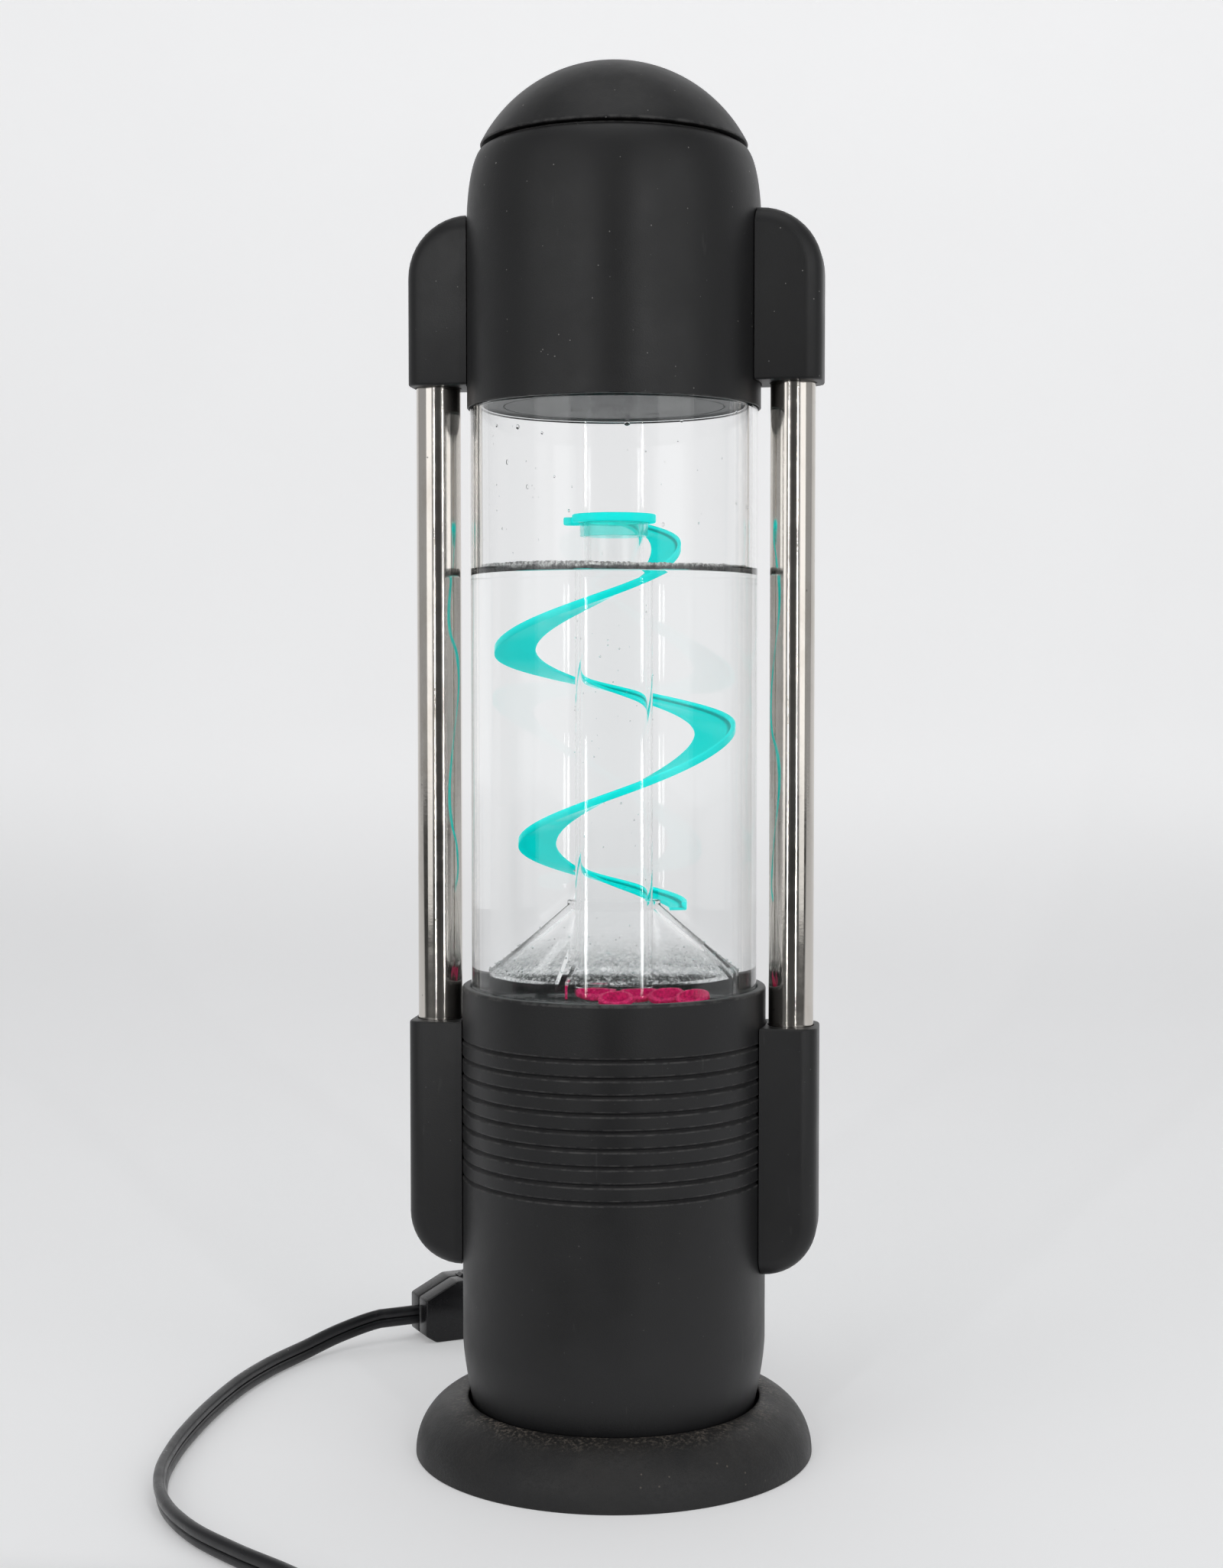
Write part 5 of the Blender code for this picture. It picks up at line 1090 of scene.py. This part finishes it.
def water_line_mesh():
    """Ragged band of fine bubbles and scum where the water meets the wall."""
    sides = 480
    high, low = np.zeros(sides), np.zeros(sides)
    turns = np.arange(sides) * FULL / sides
    for wave in (2, 5, 11, 23, 47, 90, 170):
        for edge, height in ((high, 0.5), (low, 0.3)):
            edge += rng.normal(0, height / wave ** 0.45) * np.sin(wave * turns + rng.uniform(0, 6.28))
    rings = []
    for step, turn in enumerate(turns):
        top = WATER_LEVEL + 2.5 + 0.7 * float(np.clip(high[step], -0.9, 0.9))
        bottom = WATER_LEVEL + 0.35 + 0.3 * float(np.clip(low[step], -0.9, 0.9))
        section = ((41.0, top), (40.9, bottom), (40.55, bottom), (40.6, top))
        rings.append([polar(radius, turn, height) for radius, height in section])
    return finish_mesh("water_line", *skinned(rings, closed=True), [0.0] * 4 * sides)


def drops_mesh():
    """Drops of water on the inside of the dry wall, and a bead and two drops under the ceiling's edge."""
    parts = []
    for index in range(46):
        angle = rng.uniform(0, FULL)
        size = 0.18 + 0.5 * rng.random() ** 3
        spot = polar(TUBE_INNER - 0.2 * size, angle, rng.uniform(WATER_LEVEL + 8, 322))
        parts.append(moved(ball(size, (0.55, 1.0, 1.25), 2), spot, turn_z(angle)))
    bead = turned([(40.3, 323.5), (41.1, 323.5, 0.1), (41.1, 322.7, 0.1), (40.7, 323.2, 0.2)], 144)
    parts += [bead, moved(ball(1.1, (1.0, 0.7, 0.6), 2), (-1.2, 40.0, 322.8)),
              moved(ball(0.6, (1.0, 0.7, 0.6), 2), (17.4, 36.0, 322.9))]
    return joined("wall_drops", *parts)


def disc_mesh(name, x, y):
    radius = 4.49
    profile = [(0, 1.0), (radius - 0.9, 1.0, 0.3), (radius, 0.7, 0.4), (radius, -0.7, 0.4),
               (radius - 0.9, -1.0, 0.3), (0, -1.0)]
    lean = Matrix.Rotation(math.radians(22), 4, "X")
    return placed(lathe(name, profile, 48), shift_mm(x, y, 143.91) @ lean)


def add_tank():
    tube = sleeve("clear_tube", TUBE_INNER, TUBE_R, 325.1, 127.1, 0.2, 0.4, 192)
    piece(tube, TUBE_CLEAR, ["tank_tube"])
    piece(water_mesh(), WATER)
    # The tank floor's dark finish is painted shade for the unlit base under the clear floor.
    piece(floor_mesh(), FLOOR, ["tank_floor"])
    piece(cone_mesh(), [CONE_CLEAR, CONE_INNER], ["cone_deck"])
    piece(riser_mesh(), [WET_CLEAR, DRY_CLEAR], ["riser_tube"])
    piece(ramp_mesh(), [TEAL, THIN_TEAL], ["spiral_ramp"])
    piece(bubbles_mesh(), BUBBLE)
    piece(drops_mesh(), WATER)
    piece(water_line_mesh(), SCUM)
    places = ((0.222, 0.165), (0.573, -0.106), (0.107, -0.608), (0.925, -0.345), (-0.229, 0.370))
    for number, (x, y) in enumerate(places, 1):
        disc = disc_mesh("slide_disc_%d" % number, FLOOR_ROOM * x, FLOOR_ROOM * y)
        piece(disc, MAGENTA, ["action_disc_%d" % number])
    cap = [(0, 333.7), (5.0, 333.7, 0.8), (5.0, 325.7, 0.5), (31.7, 325.7, 0.5), (31.7, 331.5, 0.4),
           (37.3, 331.5, 0.4), (37.3, 329.5, 0.3), (33.7, 329.5, 0.2), (33.7, 323.7, 0.06), (0, 323.7)]
    piece(lathe("tank_stopper", cap, 144), SMOKED, ["tank_cap"], "cap")


add_tank()


# Finishes of the frame's own nodes that stay in sight

KEPT = {
    INNER: ["base_plate", "impeller", "pump_cup"],
    ZINC: [*["%s_screw_%d" % (part, number) for part in ("base", "bracket") for number in (1, 2, 3)],
           *["%s_pod_screw_%s" % (level, side) for level in ("lower", "upper") for side in ("left", "right")],
           "switch_screw_1", "switch_screw_2", "wheel_pin", "impeller_pin", "motor_shaft", "motor_body",
           "motor_bracket"],
    FERRITE: ["drive_magnet"],
    CERAMIC: ["bulb_holder"],
    BULB_CLEAR: ["bulb"],
    RUBBER: ["lower_seal", "upper_seal"],
}
for kept_finish, names in KEPT.items():
    for kept in names:
        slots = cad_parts[kept].data.materials
        if not slots:
            slots.append(kept_finish)
        for index in range(len(slots)):
            slots[index] = kept_finish


# Stage and light

SWEEP_HALF, SWEEP_FRONT, SWEEP_CURVE, SWEEP_TOP = 3.5, -3.0, 0.9, 3.2
AIM_HEIGHT = 0.22
FACING = 8


def add_stage():
    """A whitish sweep: the floor curves up into the backdrop. It glows with painted light that grows with height,
    and a dark strip on the floor in front of the object is painted shade.
    """
    curve = SWEEP_CURVE
    line = [(SWEEP_FRONT, 0.0), (curve, 0.0), *arc(fan(-QUARTER, 0, 16)[1:], curve, curve, curve, curve),
            (2 * curve, SWEEP_TOP)]
    verts, faces = [], []
    for index, (y, z) in enumerate(line):
        verts += [(-SWEEP_HALF, y, z), (SWEEP_HALF, y, z)]
        if index:
            faces.append((2 * index - 2, 2 * index - 1, 2 * index + 1, 2 * index))
    mesh = bpy.data.meshes.new("sweep")
    mesh.from_pydata(verts, [], faces)
    mesh.shade_smooth()
    made, shader = start_material("sweep_finish")
    height = place(2)
    # Painted shade: where this share is 0, the floor in front of the object is dark and does not glow.
    near = levels(place(1), -0.32, -0.11)
    # Painted light: the sweep's glow grows with height, from the floor up the backdrop.
    rise = node("MapRange", {"Value": height, "From Max": 0.17, "To Min": 0.21, "To Max": 0.345},
                interpolation_type="SMOOTHSTEP").outputs[0]
    rise = plus(rise, levels(height, 0.2, 1.0, 0.0, 0.07))
    marks = times(specks(60, 0.025, 0.25), 0.45)
    colour = mix_colour(mottled(5, 3, 0.5, 0.3, 0.7), (0.80, 0.80, 0.81), (0.815, 0.815, 0.825))
    colour = mix_colour(marks, colour, (0.35, 0.34, 0.33))
    feed(shader, rough=0.75, shine=0.15, glow_colour=rgba(1.0), glow=times(rise, near),
         colour=mix_colour(near, 0.06, colour))
    mesh.materials.append(made)
    add_object("sweep", mesh)


def add_lamp(name, azimuth, height, away, wide, tall, watts, shape="RECTANGLE"):
    """A soft lamp that looks at the middle of the object; azimuth is from the camera's side."""
    data = bpy.data.lights.new(name, "AREA")
    data.shape = shape
    data.size, data.size_y = wide, tall
    data.energy = watts
    angle = math.radians(-90 + FACING + azimuth)
    made = add_object(name, data)
    made.location = polar(away, angle, height)
    look = Vector((0, 0, AIM_HEIGHT)) - made.location
    made.rotation_euler = look.to_track_quat("-Z", "Y").to_euler()


def add_world():
    """Pale room, dark behind the camera."""
    world = bpy.data.worlds.new("room")
    scene.world = world
    world.use_nodes = True
    Hand.tree = world.node_tree
    way = node("SeparateXYZ", {0: node("TexCoord").outputs["Generated"]})
    azimuth = maths("ARCTAN2", way.outputs[0], times(way.outputs[1], -1.0))
    off = maths("ABSOLUTE", maths("SUBTRACT", azimuth, math.radians(FACING)))
    side = levels(off, math.radians(13), math.radians(19), 0.075, 0.42)
    above = levels(way.outputs[2], 0.25, 0.85)
    bright = node("Mix", {0: above, 2: side, 3: 0.28}, data_type="FLOAT").outputs[0]
    feed(world.node_tree.nodes["Background"], {"Color": (0.98, 0.99, 1.0, 1.0), "Strength": bright})


def add_light():
    """Two soft sides, a top, and narrow strips that draw the highlights on the rods and the tube."""
    add_lamp("soft_left", -50, 0.55, 1.5, 0.8, 1.4, 3.6)
    add_lamp("soft_right", 50, 0.55, 1.5, 0.8, 1.4, 3.6)
    strips = ((0.80, 1.6, 0.50, 1.9), (0.435, 1.6, 0.08, 0.50), (0.28, 1.6, 0.10, 0.32), (0.10, 1.6, 0.16, 0.45),
              (0.05, 1.0, 0.07, 0.15))
    for side in (-1, 1):
        for height, away, tall, watts in strips:
            add_lamp("strip_%d_%d" % (side, round(100 * height)), 22 * side, height, away, 0.03, tall, watts,
                     shape="ELLIPSE")
    add_lamp("top", 0, 2.2, 0.6, 1.8, 1.8, 9)


add_stage()
add_world()
add_light()
scene.view_settings.view_transform = "Standard"
scene.view_settings.look = "None"
scene.cycles.max_bounces = 28
scene.cycles.transmission_bounces = 26
scene.cycles.transparent_max_bounces = 24
scene.cycles.glossy_bounces = 8
scene.cycles.caustics_refractive = True
